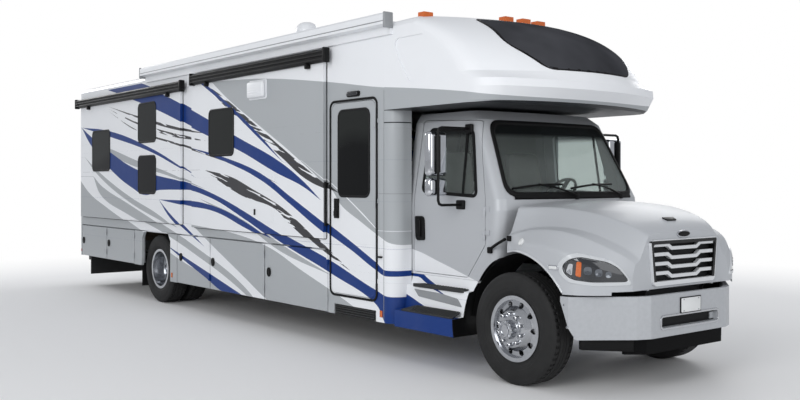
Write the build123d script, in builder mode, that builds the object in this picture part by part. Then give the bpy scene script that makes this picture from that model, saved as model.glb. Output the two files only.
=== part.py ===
"""Motorhome on a conventional-cab truck chassis, as separate subcomponents.

Frame: +X forward, +Y to the vehicle's left, +Z up, millimetres.
Origin: middle of the bounding box, on the ground.
Places along the vehicle are given from the front axle through at(),
and from the rear axle through aft().
"""
import os

from build123d import *

os.makedirs("parts", exist_ok=True)
NODES = {}

# Driving sizes
FRONT_OVERHANG = 1050
WHEELBASE = 7420
REAR_OVERHANG = 3130
LENGTH = FRONT_OVERHANG + WHEELBASE + REAR_OVERHANG
HOUSE_HALF = 1285
WALL = 50
HOUSE_FRONT = -1740
SKIRT_Z = 365
REAR_SKIRT_Z = 530
FLOOR_Z = 1110
FLOOR_T = 80
BELT_Z = FLOOR_Z - 35
CAP_Z = 2565
CAP_ROOM = 785
ROOF_T = 130
ROOF_UNDER = CAP_Z + CAP_ROOM
ROOF_TOP = ROOF_UNDER + ROOF_T
CAB_TOP = CAP_Z - 30
SEAT = 0.3
GAP = 6
FRONT_AXLE_X = LENGTH / 2 - FRONT_OVERHANG
REAR_X = -LENGTH / 2
AXLE_Z = 507


def at(from_axle):
    """Place along X, given from the front axle."""
    return FRONT_AXLE_X + from_axle


REAR_AXLE_X = at(-WHEELBASE)
HOUSE_FRONT_X = at(HOUSE_FRONT)


def aft(from_axle):
    """Place along X, given from the rear axle."""
    return REAR_AXLE_X + from_axle


# Shared shape helpers
def prism(plane, points, depth, radius=0):
    """Extrude a closed outline from a plane, with its corners rounded."""
    with BuildPart(mode=Mode.PRIVATE) as body:
        with BuildSketch(plane) as face:
            with BuildLine():
                Polyline(*points, close=True)
            make_face()
            if radius:
                fillet(face.vertices(), radius)
        extrude(amount=depth)
    return body.part


def side_prism(points, y_low, y_high, radius=0):
    """Outline in (x, z), extruded across Y."""
    return prism(Plane.XZ.offset(-y_high), points, y_high - y_low, radius)


def front_prism(points, x_low, x_high, radius=0):
    """Outline in (y, z), extruded along X."""
    return prism(Plane.YZ.offset(x_low), points, x_high - x_low, radius)


def plan_prism(points, z_low, z_high, radius=0):
    """Outline in (x, y), extruded up Z."""
    return prism(Plane.XY.offset(z_low), points, z_high - z_low, radius)


def rect(u_low, u_high, v_low, v_high):
    return [(u_low, v_low), (u_high, v_low), (u_high, v_high), (u_low, v_high)]


def block(x_low, x_high, y_low, y_high, z_low, z_high):
    return plan_prism(rect(x_low, x_high, y_low, y_high), z_low, z_high)


def rod(start, axis, radius, length):
    """Round bar from a point along +X, +Y or +Z."""
    plane = Plane(origin=start, z_dir=axis)
    with BuildPart(mode=Mode.PRIVATE) as body:
        with BuildSketch(plane):
            Circle(radius)
        extrude(amount=length)
    return body.part


def turned(x, points):
    """Revolve a (radius, y) outline about the wheel axis at x."""
    with BuildPart(mode=Mode.PRIVATE) as body:
        with BuildSketch(Plane(origin=(x, 0, AXLE_Z), x_dir=(0, 0, 1), z_dir=(1, 0, 0))):
            with BuildLine():
                Polyline(*[(radius, -y) for radius, y in points], close=True)
            make_face()
        revolve(axis=Axis((x, 0, AXLE_Z), (0, 1, 0)))
    return body.part


def mirrored(shape):
    """The same piece on the other side of the vehicle."""
    with BuildPart(mode=Mode.PRIVATE) as body:
        mirror(shape, about=Plane.XZ)
    return body.part


def fuse(*shapes):
    with BuildPart(mode=Mode.PRIVATE) as body:
        for shape in shapes:
            add(shape)
    return body.part


def cut(shape, *tools):
    with BuildPart(mode=Mode.PRIVATE) as body:
        add(shape)
        for tool in tools:
            add(tool, mode=Mode.SUBTRACT)
    return body.part


def common(shape, *tools):
    with BuildPart(mode=Mode.PRIVATE) as body:
        add(shape)
        for tool in tools:
            add(tool, mode=Mode.INTERSECT)
    return body.part


# Hinge barrels that stand on the skin, one on the door and one on the frame
BARREL_R = 10
BARREL_H = 45
STRAP = 60


def hinge_axis_y(skin):
    return -(skin + BARREL_R + SEAT)


def door_barrel(x, skin, z, sink=1):
    """Barrel and strap on a door that lies behind the axis."""
    y = hinge_axis_y(skin)
    barrel = rod((x, y, z), (0, 0, 1), BARREL_R, BARREL_H)
    strap = block(x - STRAP, x, -skin - 6, -skin, z, z + BARREL_H)
    root = block(x - STRAP, x - 14, -skin - 6, -skin + sink, z, z + BARREL_H)
    return fuse(barrel, strap, root)


def frame_barrel(x, skin, z, sink=1):
    """Matching barrel and strap on the fixed panel ahead of the axis."""
    y = hinge_axis_y(skin)
    base = z + BARREL_H + SEAT
    barrel = rod((x, y, base), (0, 0, 1), BARREL_R, BARREL_H)
    strap = block(x, x + STRAP, -skin - 6, -skin, base, base + BARREL_H)
    root = block(x + 14, x + STRAP, -skin - 6, -skin + sink, base, base + BARREL_H)
    return fuse(barrel, strap, root)


# Chassis frame: two channel rails, cross members and the hood pivot lugs
RAIL_MID = 392
RAIL_IN, RAIL_OUT = RAIL_MID - 40, RAIL_MID + 40
RAIL_Z, RAIL_TOP = 640, 880 - SEAT
PIVOT_X, PIVOT_Z = at(925), 915
PIVOT_R = 12
PIVOT_HALF = 500
CROSS_MEMBERS = [at(820), at(-1350), at(-3000), aft(2620), aft(920), aft(-1080), REAR_X + 250]


def build_frame():
    rail = block(REAR_X + 150, at(880), RAIL_IN, RAIL_OUT, RAIL_Z, RAIL_TOP)
    rail = cut(rail, block(REAR_X, at(900), RAIL_IN - 1, RAIL_OUT - 10, RAIL_Z + 10, RAIL_TOP - 10))
    lug = side_prism([(at(780), 660), (at(860), 660), (at(880), 800), (PIVOT_X - 20, PIVOT_Z - 20),
                      (PIVOT_X + 12, PIVOT_Z - 15), (PIVOT_X + 12, PIVOT_Z + 15),
                      (PIVOT_X - 20, PIVOT_Z + 15), (at(780), 780)], RAIL_OUT - 12, RAIL_OUT)
    side = fuse(rail, lug)
    members = [block(x - 40, x + 40, -RAIL_OUT + 10, RAIL_OUT - 10, RAIL_Z + 10, RAIL_TOP - 10)
               for x in CROSS_MEMBERS]
    pivot = rod((PIVOT_X, -PIVOT_HALF, PIVOT_Z), (0, 1, 0), PIVOT_R, 2 * PIVOT_HALF)
    return fuse(side, mirrored(side), pivot, *members)


NODES["chassis_frame"] = build_frame()

# Engine: one plain block with the gearbox and the shaft to the rear axle
SHAFT_Z = 560


def build_engine():
    body = block(at(-222), at(600), -RAIL_IN + SEAT, RAIL_IN - SEAT, 620, 1300)
    gearbox = block(at(-1250), at(-210), -200, 200, 440, 690)
    shaft = rod((aft(300), 0, SHAFT_Z), (1, 0, 0), 50, at(-1240) - aft(300))
    return fuse(body, gearbox, shaft)


NODES["engine_block"] = build_engine()

# Axles, with eyes for the kingpins in front and spindles at the rear
KINGPIN_Y = 880
FRONT_TYRE_Y = 1030
DUAL_OUT_Y, DUAL_IN_Y = 1088, 762
SPINDLE_R = 35
REAR_SPINDLE_R = 50


def build_front_axle():
    eye = cut(rod((at(0), KINGPIN_Y, 420), (0, 0, 1), 48, 140),
              rod((at(0), KINGPIN_Y, 400), (0, 0, 1), 20 + SEAT, 200))
    beam = block(at(-45), at(45), -840, 840, 440, 530)
    pads = [block(at(-70), at(70), s * RAIL_MID - 60, s * RAIL_MID + 60, 530, 560) for s in (-1, 1)]
    whole = fuse(beam, eye, mirrored(eye), *pads)
    bores = [rod((at(0), s * KINGPIN_Y, 400), (0, 0, 1), 20 + SEAT, 200) for s in (-1, 1)]
    return cut(whole, *bores)


def build_rear_axle():
    tube = rod((REAR_AXLE_X, -630, AXLE_Z), (0, 1, 0), 85, 1260)
    spindle = rod((REAR_AXLE_X, -960, AXLE_Z), (0, 1, 0), REAR_SPINDLE_R, 1920)
    banjo = rod((REAR_AXLE_X, -170, AXLE_Z), (0, 1, 0), 215, 340)
    nose = rod((REAR_AXLE_X, 0, SHAFT_Z), (1, 0, 0), 75, 300)
    pads = [block(REAR_AXLE_X - 80, REAR_AXLE_X + 80, s * RAIL_MID - 60, s * RAIL_MID + 60, 540, 600)
            for s in (-1, 1)]
    return fuse(tube, spindle, banjo, nose, *pads)


NODES["front_axle"] = build_front_axle()
NODES["rear_axle"] = build_rear_axle()

# Leaf springs: one bowed pack over each axle end, hung from the rails
SPRING_ROWS = [
    # middle x, half length, middle y, pad top z
    (at(0), 620, RAIL_MID, 560),
    (REAR_AXLE_X, 700, RAIL_MID, 600),
]


def build_springs():
    packs = []
    for middle, half, y, pad in SPRING_ROWS:
        top = RAIL_Z
        pack = side_prism([(middle - half, top - 45), (middle - 90, pad), (middle + 90, pad),
                           (middle + half, top - 45), (middle + half, top),
                           (middle + half - 70, top), (middle + 100, pad + 34),
                           (middle - 100, pad + 34), (middle - half + 70, top),
                           (middle - half, top)], y - 35, y + 35)
        packs += [pack, mirrored(pack)]
    return fuse(*packs)


NODES["leaf_springs"] = build_springs()

# Knuckles: ears above and below the axle eye, kingpin and wheel spindle
KNUCKLE_TOP, KNUCKLE_LOW = 560 + SEAT, 420 - SEAT


def build_knuckle():
    upper = block(at(-45), at(45), -975, -835, KNUCKLE_TOP, 600)
    lower = block(at(-45), at(45), -975, -835, 380, KNUCKLE_LOW)
    web = block(at(-45), at(45), -975, -940, 380, 600)
    pin = rod((at(0), -KINGPIN_Y, 385), (0, 0, 1), 20, 210)
    spindle = rod((at(0), -1190, AXLE_Z), (0, 1, 0), SPINDLE_R, 230)
    return fuse(upper, lower, web, pin, spindle)


NODES["knuckle_right"] = build_knuckle()
NODES["knuckle_left"] = mirrored(NODES["knuckle_right"])

# Tyres and wheels
TYRE_PROFILE = [
    # radius, half width
    (286.3, 104.5), (302, 104.5), (335, 128), (400, 137.5),
    (468, 133), (496, 116), (AXLE_Z, 84),
]
RIM_HALF = 118


def tyre(x, y):
    outline = [(radius, y - half) for radius, half in TYRE_PROFILE]
    outline += [(radius, y + half) for radius, half in reversed(TYRE_PROFILE)]
    return turned(x, outline)


def rim_ring(x, y):
    """Barrel with both flanges, beside which the tyre's beads sit."""
    return turned(x, [(262, y - RIM_HALF), (298, y - RIM_HALF), (298, y - 105), (286, y - 105),
                      (286, y + 105), (298, y + 105), (298, y + RIM_HALF), (262, y + RIM_HALF)])


def hand_holes(x, radius, y_low, y_high):
    holes = []
    for turn in range(10):
        where = Vector(0, 0, radius).rotate(Axis.Y, 36 * turn + 18)
        holes.append(rod((x + where.X, y_low, AXLE_Z + where.Z), (0, 1, 0), 27, y_high - y_low))
    return holes


def build_front_wheel():
    x, y = at(0), -FRONT_TYRE_Y
    disc = turned(x, [(264, y - 62), (264, y - 88), (205, y - 96), (165, y - 150), (110, y - 158),
                      (110, y - 130), (150, y - 124), (188, y - 70)])
    hub = turned(x, [(SPINDLE_R + SEAT, y + 45), (115, y + 45), (115, y - 168), (88, y - 172),
                     (82, y - 232), (60, y - 240), (0.01, y - 240), (0.01, y - 165),
                     (SPINDLE_R + SEAT, y - 165)])
    return cut(fuse(rim_ring(x, y), disc, hub), *hand_holes(x, 222, y - 140, y - 40))


def build_rear_wheels():
    x = REAR_AXLE_X
    out, inn = -DUAL_OUT_Y, -DUAL_IN_Y
    mate = (out + inn) / 2
    outer = turned(x, [(264, out + 60), (264, out + 88), (225, out + 100), (180, mate - 1),
                       (110, mate - 1), (110, mate - 25), (170, mate - 25), (212, out + 70)])
    inner = turned(x, [(264, inn - 60), (264, inn - 88), (225, inn - 100), (180, mate + 1),
                       (110, mate + 1), (110, mate + 25), (170, mate + 25), (212, inn - 70)])
    hub = turned(x, [(REAR_SPINDLE_R + SEAT, inn + 110), (135, inn + 110), (135, mate - 40),
                     (108, mate - 46), (104, out + 20), (60, out + 4), (0.01, out + 4),
                     (0.01, -965), (REAR_SPINDLE_R + SEAT, -965)])
    holes = hand_holes(x, 215, out, inn)
    return cut(fuse(rim_ring(x, out), rim_ring(x, inn), outer, inner, hub), *holes)


NODES["front_tyre_right"] = tyre(at(0), -FRONT_TYRE_Y)
NODES["front_tyre_left"] = tyre(at(0), FRONT_TYRE_Y)
NODES["front_wheel_right"] = build_front_wheel()
NODES["front_wheel_left"] = mirrored(NODES["front_wheel_right"])
NODES["rear_tyres_right"] = fuse(tyre(REAR_AXLE_X, -DUAL_OUT_Y), tyre(REAR_AXLE_X, -DUAL_IN_Y))
NODES["rear_tyres_left"] = fuse(tyre(REAR_AXLE_X, DUAL_OUT_Y), tyre(REAR_AXLE_X, DUAL_IN_Y))
NODES["rear_wheels_right"] = build_rear_wheels()
NODES["rear_wheels_left"] = mirrored(NODES["rear_wheels_right"])

# Slide-out rooms of the right side: outline of the fascia, window table
FASCIA_LAP = 60
FASCIA_T = 40
SLIDE_DEPTH = 700
ROOM_CLEAR = 8
ROOM_T = 40
SLIDES = {
    # rear x, front x, bottom z, top z
    "rear_slide": (REAR_X + 110, aft(960), FLOOR_Z + 105, ROOF_UNDER - 180),
    "front_slide": (aft(1320), HOUSE_FRONT_X - 1060, FLOOR_Z + 80, ROOF_UNDER - 140),
}
SLIDE_WINDOWS = {
    # rear x, front x, bottom z, top z
    "rear_slide": [(REAR_X + 683, REAR_X + 1446, ROOF_UNDER - 1334, ROOF_UNDER - 684),
                   (aft(-507), aft(121), ROOF_UNDER - 915, ROOF_UNDER - 336),
                   (aft(-507), aft(121), FLOOR_Z + 545, FLOOR_Z + 1097)],
    "front_slide": [(aft(1860), aft(2530), ROOF_UNDER - 1170, ROOF_UNDER - 573)],
}
WINDOW_R = 70
FASCIA_IN = -HOUSE_HALF - GAP
FASCIA_OUT = FASCIA_IN - FASCIA_T


def slide_opening(name, clear=0):
    rear, front, low, high = SLIDES[name]
    lap = FASCIA_LAP + clear
    return rear + lap, front - lap, low + lap, high - lap


def build_slide_room(name):
    fascia = side_prism(rect(*SLIDES[name]), FASCIA_OUT, FASCIA_IN)
    rear, front, low, high = slide_opening(name, ROOM_CLEAR)
    room = block(rear, front, FASCIA_IN - 1, -HOUSE_HALF + SLIDE_DEPTH, low, high)
    hollow = block(rear + ROOM_T, front - ROOM_T, FASCIA_IN, 0, low + ROOM_T, high - ROOM_T)
    windows = [side_prism(rect(*row), FASCIA_OUT - 9, FASCIA_IN + 9, WINDOW_R)
               for row in SLIDE_WINDOWS[name]]
    return cut(fuse(fascia, room), hollow, *windows)


def build_slide_glass(name):
    panes = []
    for rear, front, low, high in SLIDE_WINDOWS[name]:
        pane = rect(rear + SEAT, front - SEAT, low + SEAT, high - SEAT)
        panes.append(side_prism(pane, FASCIA_OUT - 5, FASCIA_OUT + 15, WINDOW_R - SEAT))
    return fuse(*panes)


def build_topper(name, rear_end, front_end, low_end, high_end):
    """Roller case of the slide's own awning, on the fascia's top edge."""
    y = FASCIA_OUT
    slide_rear, slide_front, _, slide_top = SLIDES[name]
    rear, front = slide_rear + rear_end, slide_front + front_end
    low, high = slide_top + low_end, slide_top + high_end
    return front_prism([(y, low), (y - 30, low), (y - 72, low + 40), (y - 75, high - 30),
                        (y - 50, high), (y - 12, high), (y, high - 20)], rear, front)


for name in SLIDES:
    NODES[name + "_room"] = build_slide_room(name)
    NODES[name + "_glass"] = build_slide_glass(name)
TOPPERS = {
    # rear end from the slide's, front end from the slide's, low z and high z from its top
    "rear_slide": (-60, 130, -60, 80),
    "front_slide": (100, 110, -45, 100),
}
for name, ends in TOPPERS.items():
    NODES[name + "_topper"] = build_topper(name, *ends)

# House shell: floor with slide rails, roof, walls
DOOR_CUT = (HOUSE_FRONT_X - 966, HOUSE_FRONT_X - 144, FLOOR_Z - 514, FLOOR_Z + 1586)
DOOR_R = 95
POST_REAR = HOUSE_FRONT_X - 1036
STEP_CUT = (DOOR_CUT[0] + 56, DOOR_CUT[1] + 4, SKIRT_Z - 65, SKIRT_Z + 113)
LEFT_WINDOWS = [
    # rear x, front x, bottom z, top z
    (REAR_X + 683, REAR_X + 1446, ROOF_UNDER - 1334, ROOF_UNDER - 684),
    (aft(-507), aft(121), ROOF_UNDER - 1450, ROOF_UNDER - 750),
    (aft(1860), aft(2720), ROOF_UNDER - 1450, ROOF_UNDER - 750),
    (HOUSE_FRONT_X - 1660, HOUSE_FRONT_X - 960, ROOF_UNDER - 1450, ROOF_UNDER - 750),
]


def roof_outline(inset=0, low=ROOF_UNDER):
    """Half-round shoulders and a flat middle, in (y, z)."""
    half = HOUSE_HALF - inset
    top = ROOF_TOP - inset
    return [(-half, low), (half, low), (half, top - 100), (half - 40, top - 55),
            (half - 130, top - 18), (half - 270, top), (-half + 270, top),
            (-half + 130, top - 18), (-half + 40, top - 55), (-half, top - 100)]


def build_floor():
    deck = block(REAR_X + WALL, HOUSE_FRONT_X, -HOUSE_HALF + WALL, HOUSE_HALF - WALL,
                 FLOOR_Z, FLOOR_Z + FLOOR_T)
    step_well = block(DOOR_CUT[0], DOOR_CUT[1], -HOUSE_HALF, -HOUSE_HALF + 650, 0, 2000)
    rails = []
    for name in SLIDES:
        rear, front, low, _ = slide_opening(name, ROOM_CLEAR)
        for share in (0.2, 0.8):
            x = rear + share * (front - rear)
            rails.append(block(x - 40, x + 40, -HOUSE_HALF + WALL, -HOUSE_HALF + SLIDE_DEPTH,
                               FLOOR_Z + FLOOR_T + SEAT, low - SEAT))
    bearers = [block(x - 30, x + 30, -HOUSE_HALF + 105, HOUSE_HALF - 105, RAIL_TOP + SEAT, FLOOR_Z - SEAT)
               for x in (REAR_X + 350, aft(-980), aft(920), aft(2720), HOUSE_FRONT_X - 1210)]
    return fuse(cut(deck, step_well), *rails, *bearers)


def build_right_wall():
    skin_out, skin_in = -HOUSE_HALF, -HOUSE_HALF + WALL
    upper = side_prism(rect(REAR_X + WALL, HOUSE_FRONT_X, BELT_Z, ROOF_UNDER), skin_out, skin_in)
    lower = side_prism(rect(POST_REAR + GAP, HOUSE_FRONT_X, SKIRT_Z, BELT_Z + 1), skin_out, skin_in)
    cuts = [side_prism(rect(*slide_opening(name)), skin_out - 9, skin_in + 9) for name in SLIDES]
    cuts.append(side_prism(rect(*DOOR_CUT), skin_out - 9, skin_in + 9, DOOR_R))
    cuts.append(side_prism(rect(*STEP_CUT), skin_out - 9, skin_in + 9))
    wall = cut(fuse(upper, lower), *cuts)
    barrels = [frame_barrel(DOOR_CUT[1] - GAP / 2, HOUSE_HALF, z) for z in ENTRY_HINGES]
    return fuse(wall, *barrels)


def build_left_wall():
    skin_in, skin_out = HOUSE_HALF - WALL, HOUSE_HALF
    upper = side_prism(rect(REAR_X + WALL, HOUSE_FRONT_X, BELT_Z, ROOF_UNDER), skin_in, skin_out)
    lower = side_prism(rect(POST_REAR + GAP, HOUSE_FRONT_X, SKIRT_Z, BELT_Z + 1), skin_in, skin_out)
    cuts = [side_prism(rect(*row), skin_in - 9, skin_out + 9, WINDOW_R) for row in LEFT_WINDOWS]
    return cut(fuse(upper, lower), *cuts)


ENTRY_HINGES = [DOOR_CUT[2] + lift for lift in (124, 964, 1804)]
NODES["house_floor"] = build_floor()
NODES["right_wall"] = build_right_wall()
NODES["left_wall"] = build_left_wall()
NODES["house_roof"] = front_prism(roof_outline(), REAR_X, HOUSE_FRONT_X)
TAIL_LAMPS = [
    # low y, high y, low z, high z
    (-HOUSE_HALF + 95, -HOUSE_HALF + 275, REAR_SKIRT_Z + 230, REAR_SKIRT_Z + 600),
    (HOUSE_HALF - 275, HOUSE_HALF - 95, REAR_SKIRT_Z + 230, REAR_SKIRT_Z + 600),
    (-120, 120, ROOF_UNDER - 170, ROOF_UNDER - 125),
    (-HOUSE_HALF + 95, -HOUSE_HALF + 205, ROOF_UNDER - 170, ROOF_UNDER - 125),
    (HOUSE_HALF - 205, HOUSE_HALF - 95, ROOF_UNDER - 170, ROOF_UNDER - 125),
]
LAMP_DEPTH = 26


def build_rear_wall():
    wall = block(REAR_X, REAR_X + WALL, -HOUSE_HALF, HOUSE_HALF, REAR_SKIRT_Z, ROOF_UNDER)
    pockets = [front_prism(rect(*row), REAR_X - 1, REAR_X + LAMP_DEPTH) for row in TAIL_LAMPS]
    return cut(wall, *pockets)


NODES["rear_wall"] = build_rear_wall()

# Entry door on the right side, hinged at its front edge
ENTRY_GLASS = (DOOR_CUT[0] + 146, DOOR_CUT[1] - 120, DOOR_CUT[3] - 1018, DOOR_CUT[3] - 98)
DOOR_T = 42


def build_entry_door():
    rear, front, low, high = DOOR_CUT
    leaf = side_prism(rect(rear + GAP, front - GAP, low + GAP, high - GAP),
                      -HOUSE_HALF, -HOUSE_HALF + DOOR_T, DOOR_R - GAP)
    leaf = cut(leaf, side_prism(rect(*ENTRY_GLASS), -HOUSE_HALF - 9, -HOUSE_HALF + 90, 60))
    barrels = [door_barrel(front - GAP / 2, HOUSE_HALF, z) for z in ENTRY_HINGES]
    return fuse(leaf, *barrels)


def build_entry_glass():
    rear, front, low, high = ENTRY_GLASS
    return side_prism(rect(rear + SEAT, front - SEAT, low + SEAT, high - SEAT),
                      -HOUSE_HALF - 4, -HOUSE_HALF + 16, 60 - SEAT)


NODES["entry_door"] = build_entry_door()
NODES["entry_door_glass"] = build_entry_glass()

# Storage doors in the skirts, each hinged at its front edge
SKIRT_T = 40
SKIRT_TOP = BELT_Z - 13
SKIRT_HINGES = (0.16, 0.76)
FREE_EDGE = BARREL_R + GAP
HINGE_EDGE = GAP + 2
SKIRT_REAR = REAR_X + WALL
BEHIND_WHEEL, AHEAD_OF_WHEEL = aft(-778), aft(757)
REAR_SEAM = (SKIRT_REAR + BEHIND_WHEEL) / 2
RIGHT_STORAGE = [
    # rear x, front x, bottom z
    (SKIRT_REAR, REAR_SEAM, REAR_SKIRT_Z), (REAR_SEAM, BEHIND_WHEEL, REAR_SKIRT_Z),
    (AHEAD_OF_WHEEL, aft(1787), SKIRT_Z), (aft(1787), POST_REAR - 1400, SKIRT_Z),
    (POST_REAR - 1400, POST_REAR, SKIRT_Z),
]
LEFT_STORAGE = [RIGHT_STORAGE[0], RIGHT_STORAGE[3]]
LEFT_FIXED = [RIGHT_STORAGE[1], RIGHT_STORAGE[2], RIGHT_STORAGE[4]]
ARCH_REAR, ARCH_FRONT = aft(-480), aft(530)


def storage_hinge_z(low):
    return [low + share * (SKIRT_TOP - low) for share in SKIRT_HINGES]


def build_storage_door(rear, front, low):
    leaf = side_prism(rect(rear + FREE_EDGE, front - HINGE_EDGE, low + GAP, SKIRT_TOP - GAP),
                      -HOUSE_HALF, -HOUSE_HALF + SKIRT_T)
    barrels = [door_barrel(front, HOUSE_HALF, z) for z in storage_hinge_z(low)]
    return fuse(leaf, *barrels)


def storage_frame(rear, front, low):
    """Post behind the front seam, its hinge leaves and the rear stop post."""
    post = block(front - 30, front + 30, -HOUSE_HALF + WALL, -HOUSE_HALF + 100,
                 low + 20, FLOOR_Z - SEAT)
    leaves = []
    for z in storage_hinge_z(low):
        base = z + BARREL_H + SEAT
        y = hinge_axis_y(HOUSE_HALF)
        leaves.append(rod((front, y, base), (0, 0, 1), BARREL_R, BARREL_H))
        leaves.append(block(front - 2, front + 2, y, -HOUSE_HALF + 60, base, base + BARREL_H))
    return fuse(post, *leaves)


def skirt_side(rows):
    """Fixed skirt pieces of one side, drawn for the right side."""
    pieces = [storage_frame(*row) for row in rows]
    skin = (-HOUSE_HALF, -HOUSE_HALF + SKIRT_T)
    behind = [(BEHIND_WHEEL + GAP, REAR_SKIRT_Z), (ARCH_REAR - 30, REAR_SKIRT_Z),
              (ARCH_REAR, REAR_SKIRT_Z + 110), (ARCH_REAR, SKIRT_TOP - 102),
              (ARCH_REAR + 70, SKIRT_TOP - 17), (ARCH_REAR + 70, SKIRT_TOP),
              (BEHIND_WHEEL + GAP, SKIRT_TOP)]
    ahead = [(ARCH_FRONT, SKIRT_Z), (AHEAD_OF_WHEEL - GAP, SKIRT_Z), (AHEAD_OF_WHEEL - GAP, SKIRT_TOP),
             (ARCH_FRONT - 70, SKIRT_TOP), (ARCH_FRONT - 70, SKIRT_TOP - 17),
             (ARCH_FRONT, SKIRT_TOP - 102)]
    top_rail = block(REAR_X + WALL, POST_REAR, -HOUSE_HALF + WALL, -HOUSE_HALF + 100,
                     SKIRT_TOP - 10, FLOOR_Z - SEAT)
    panels = [side_prism(outline, *skin) for outline in (behind, ahead)]
    back_in, back_out = -HOUSE_HALF + SKIRT_T - 1, -HOUSE_HALF + 80
    backs = [block(BEHIND_WHEEL + 8, ARCH_REAR - 60, back_in, back_out, REAR_SKIRT_Z + 30, SKIRT_TOP - 2),
             block(ARCH_FRONT + 50, AHEAD_OF_WHEEL - 17, back_in, back_out, SKIRT_Z + 35, SKIRT_TOP - 2)]
    return fuse(top_rail, *pieces, *panels, *backs)


for number, row in enumerate(RIGHT_STORAGE, start=1):
    NODES[f"storage_door_right_{number}"] = build_storage_door(*row)
for number, row in enumerate(LEFT_STORAGE, start=1):
    NODES[f"storage_door_left_{number}"] = mirrored(build_storage_door(*row))


def build_skirts():
    """Fixed skirt pieces of both sides; the left has fewer doors."""
    fixed = []
    for rear, front, low in LEFT_FIXED:
        fixed.append(side_prism(rect(rear + GAP, front - GAP, low, SKIRT_TOP),
                                -HOUSE_HALF, -HOUSE_HALF + WALL))
        fixed.append(block(front - 120, front - 60, -HOUSE_HALF + WALL, -HOUSE_HALF + 100,
                           low, FLOOR_Z - SEAT))
    return fuse(skirt_side(RIGHT_STORAGE), mirrored(fuse(skirt_side(LEFT_STORAGE), *fixed)))


NODES["skirt_panels"] = build_skirts()

# Rounded corner panels between the house sides and the cab
CAB_REAR = HOUSE_FRONT_X + 80
CORNER_FRONT = HOUSE_FRONT_X + 160
CORNER_IN = 1048


def build_corner_panel():
    with BuildPart(mode=Mode.PRIVATE) as body:
        with BuildSketch(Plane.XY.offset(SKIRT_Z)):
            with BuildLine():
                Line((HOUSE_FRONT_X, -HOUSE_HALF), (CORNER_FRONT - 140, -HOUSE_HALF))
                TangentArc((CORNER_FRONT - 140, -HOUSE_HALF), (CORNER_FRONT, -HOUSE_HALF + 140),
                           tangent=(1, 0))
                Polyline((CORNER_FRONT, -HOUSE_HALF + 140), (CORNER_FRONT, -CORNER_IN),
                         (CORNER_FRONT - 60, -CORNER_IN), (HOUSE_FRONT_X, -HOUSE_HALF + WALL),
                         (HOUSE_FRONT_X, -HOUSE_HALF))
            make_face()
        extrude(amount=CAP_Z - SKIRT_Z)
    return body.part


CORNER = build_corner_panel()
NODES["corner_panels"] = fuse(CORNER, mirrored(CORNER))

# Over-cab cap: plan outlines stacked up Z, a brow below and a dome above, under the roof's outline
CAP_T = 40
NOSE_LOW, NOSE_LIP, BROW_TOP, NOSE_TOP = CAP_Z + 25, CAP_Z + 150, CAP_Z + 225, CAP_Z + 305
CAP_CREST = ROOF_TOP + 30
CAP_RISE = CAP_CREST - NOSE_TOP
CAP_DEPTH = 460
BROW_ROWS = [
    # z, share of the inset that lifts it, front x at the middle, front x at the corner
    (CAP_Z, 1, -130, -340), (NOSE_LOW, 1, -90, -300), (NOSE_LIP, 0.3, 34, -240),
    (BROW_TOP, 0, 30, -250), (NOSE_TOP, 0, 10, -480),
]
DOME_ROWS = [
    # z, share of the inset that lifts it, front x at the middle, front x at the corner
    (NOSE_TOP, 0, 10, -480), (NOSE_TOP + 0.33 * CAP_RISE, -0.2, -125, -630),
    (NOSE_TOP + 0.65 * CAP_RISE, -0.5, -395, -890), (NOSE_TOP + 0.86 * CAP_RISE, -0.8, -690, -1165),
    (CAP_CREST, -1, -1010, -1010 - CAP_DEPTH),
]


def cap_stack(rows, inset, rear, ruled):
    half = HOUSE_HALF - inset
    with BuildPart(mode=Mode.PRIVATE) as body:
        for z, lift, middle, corner in rows:
            with BuildSketch(Plane.XY.offset(z + lift * inset)) as plan:
                with BuildLine():
                    Polyline((at(corner) - inset, -half), (rear, -half), (rear, half), (at(corner) - inset, half))
                    ThreePointArc((at(corner) - inset, half), (at(middle) - inset, 0),
                                  (at(corner) - inset, -half))
                make_face()
                fillet(plan.vertices().filter_by(lambda v: v.X > rear + 100), 300 - inset)
        loft(ruled=ruled)
    return body.part


def cap_form(inset=0, rear=HOUSE_FRONT_X):
    with BuildPart(mode=Mode.PRIVATE) as body:
        add(cap_stack(BROW_ROWS, inset, rear, True))
        add(cap_stack(DOME_ROWS, inset, rear, False))
        add(side_prism([(rear - 10, CAP_Z - 200), (at(300), CAP_Z - 200), (at(300), CAP_CREST + 200),
                        (at(-1200), CAP_CREST + 200), (at(-1250), ROOF_TOP + 40 - inset),
                        (HOUSE_FRONT_X, ROOF_TOP - inset), (rear - 10, ROOF_TOP - inset)],
                       -HOUSE_HALF - 115, HOUSE_HALF + 115), mode=Mode.INTERSECT)
        with BuildSketch(Plane.YZ.offset(rear - 10)):
            with BuildLine():
                Polyline(*[(y, z + (38 if z > CAP_Z else 0)) for y, z in roof_outline(inset, CAP_Z - 165)],
                         close=True)
            make_face()
        extrude(amount=2400, mode=Mode.INTERSECT)
    return body.part


# Shallow panel let into each side of the cap
CAP_PANEL = [(at(-1590), ROOF_TOP - 190), (at(-1480), NOSE_TOP + 175), (at(-1330), BROW_TOP + 45),
             (at(-600), BROW_TOP + 35), (at(-1120), ROOF_TOP - 190)]
PANEL_DEPTH = 12


def build_cap():
    panel = side_prism(CAP_PANEL, -HOUSE_HALF - 50, -HOUSE_HALF + PANEL_DEPTH, 60)
    return cut(cap_form(), cap_form(CAP_T, HOUSE_FRONT_X - 50), panel, mirrored(panel))


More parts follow.
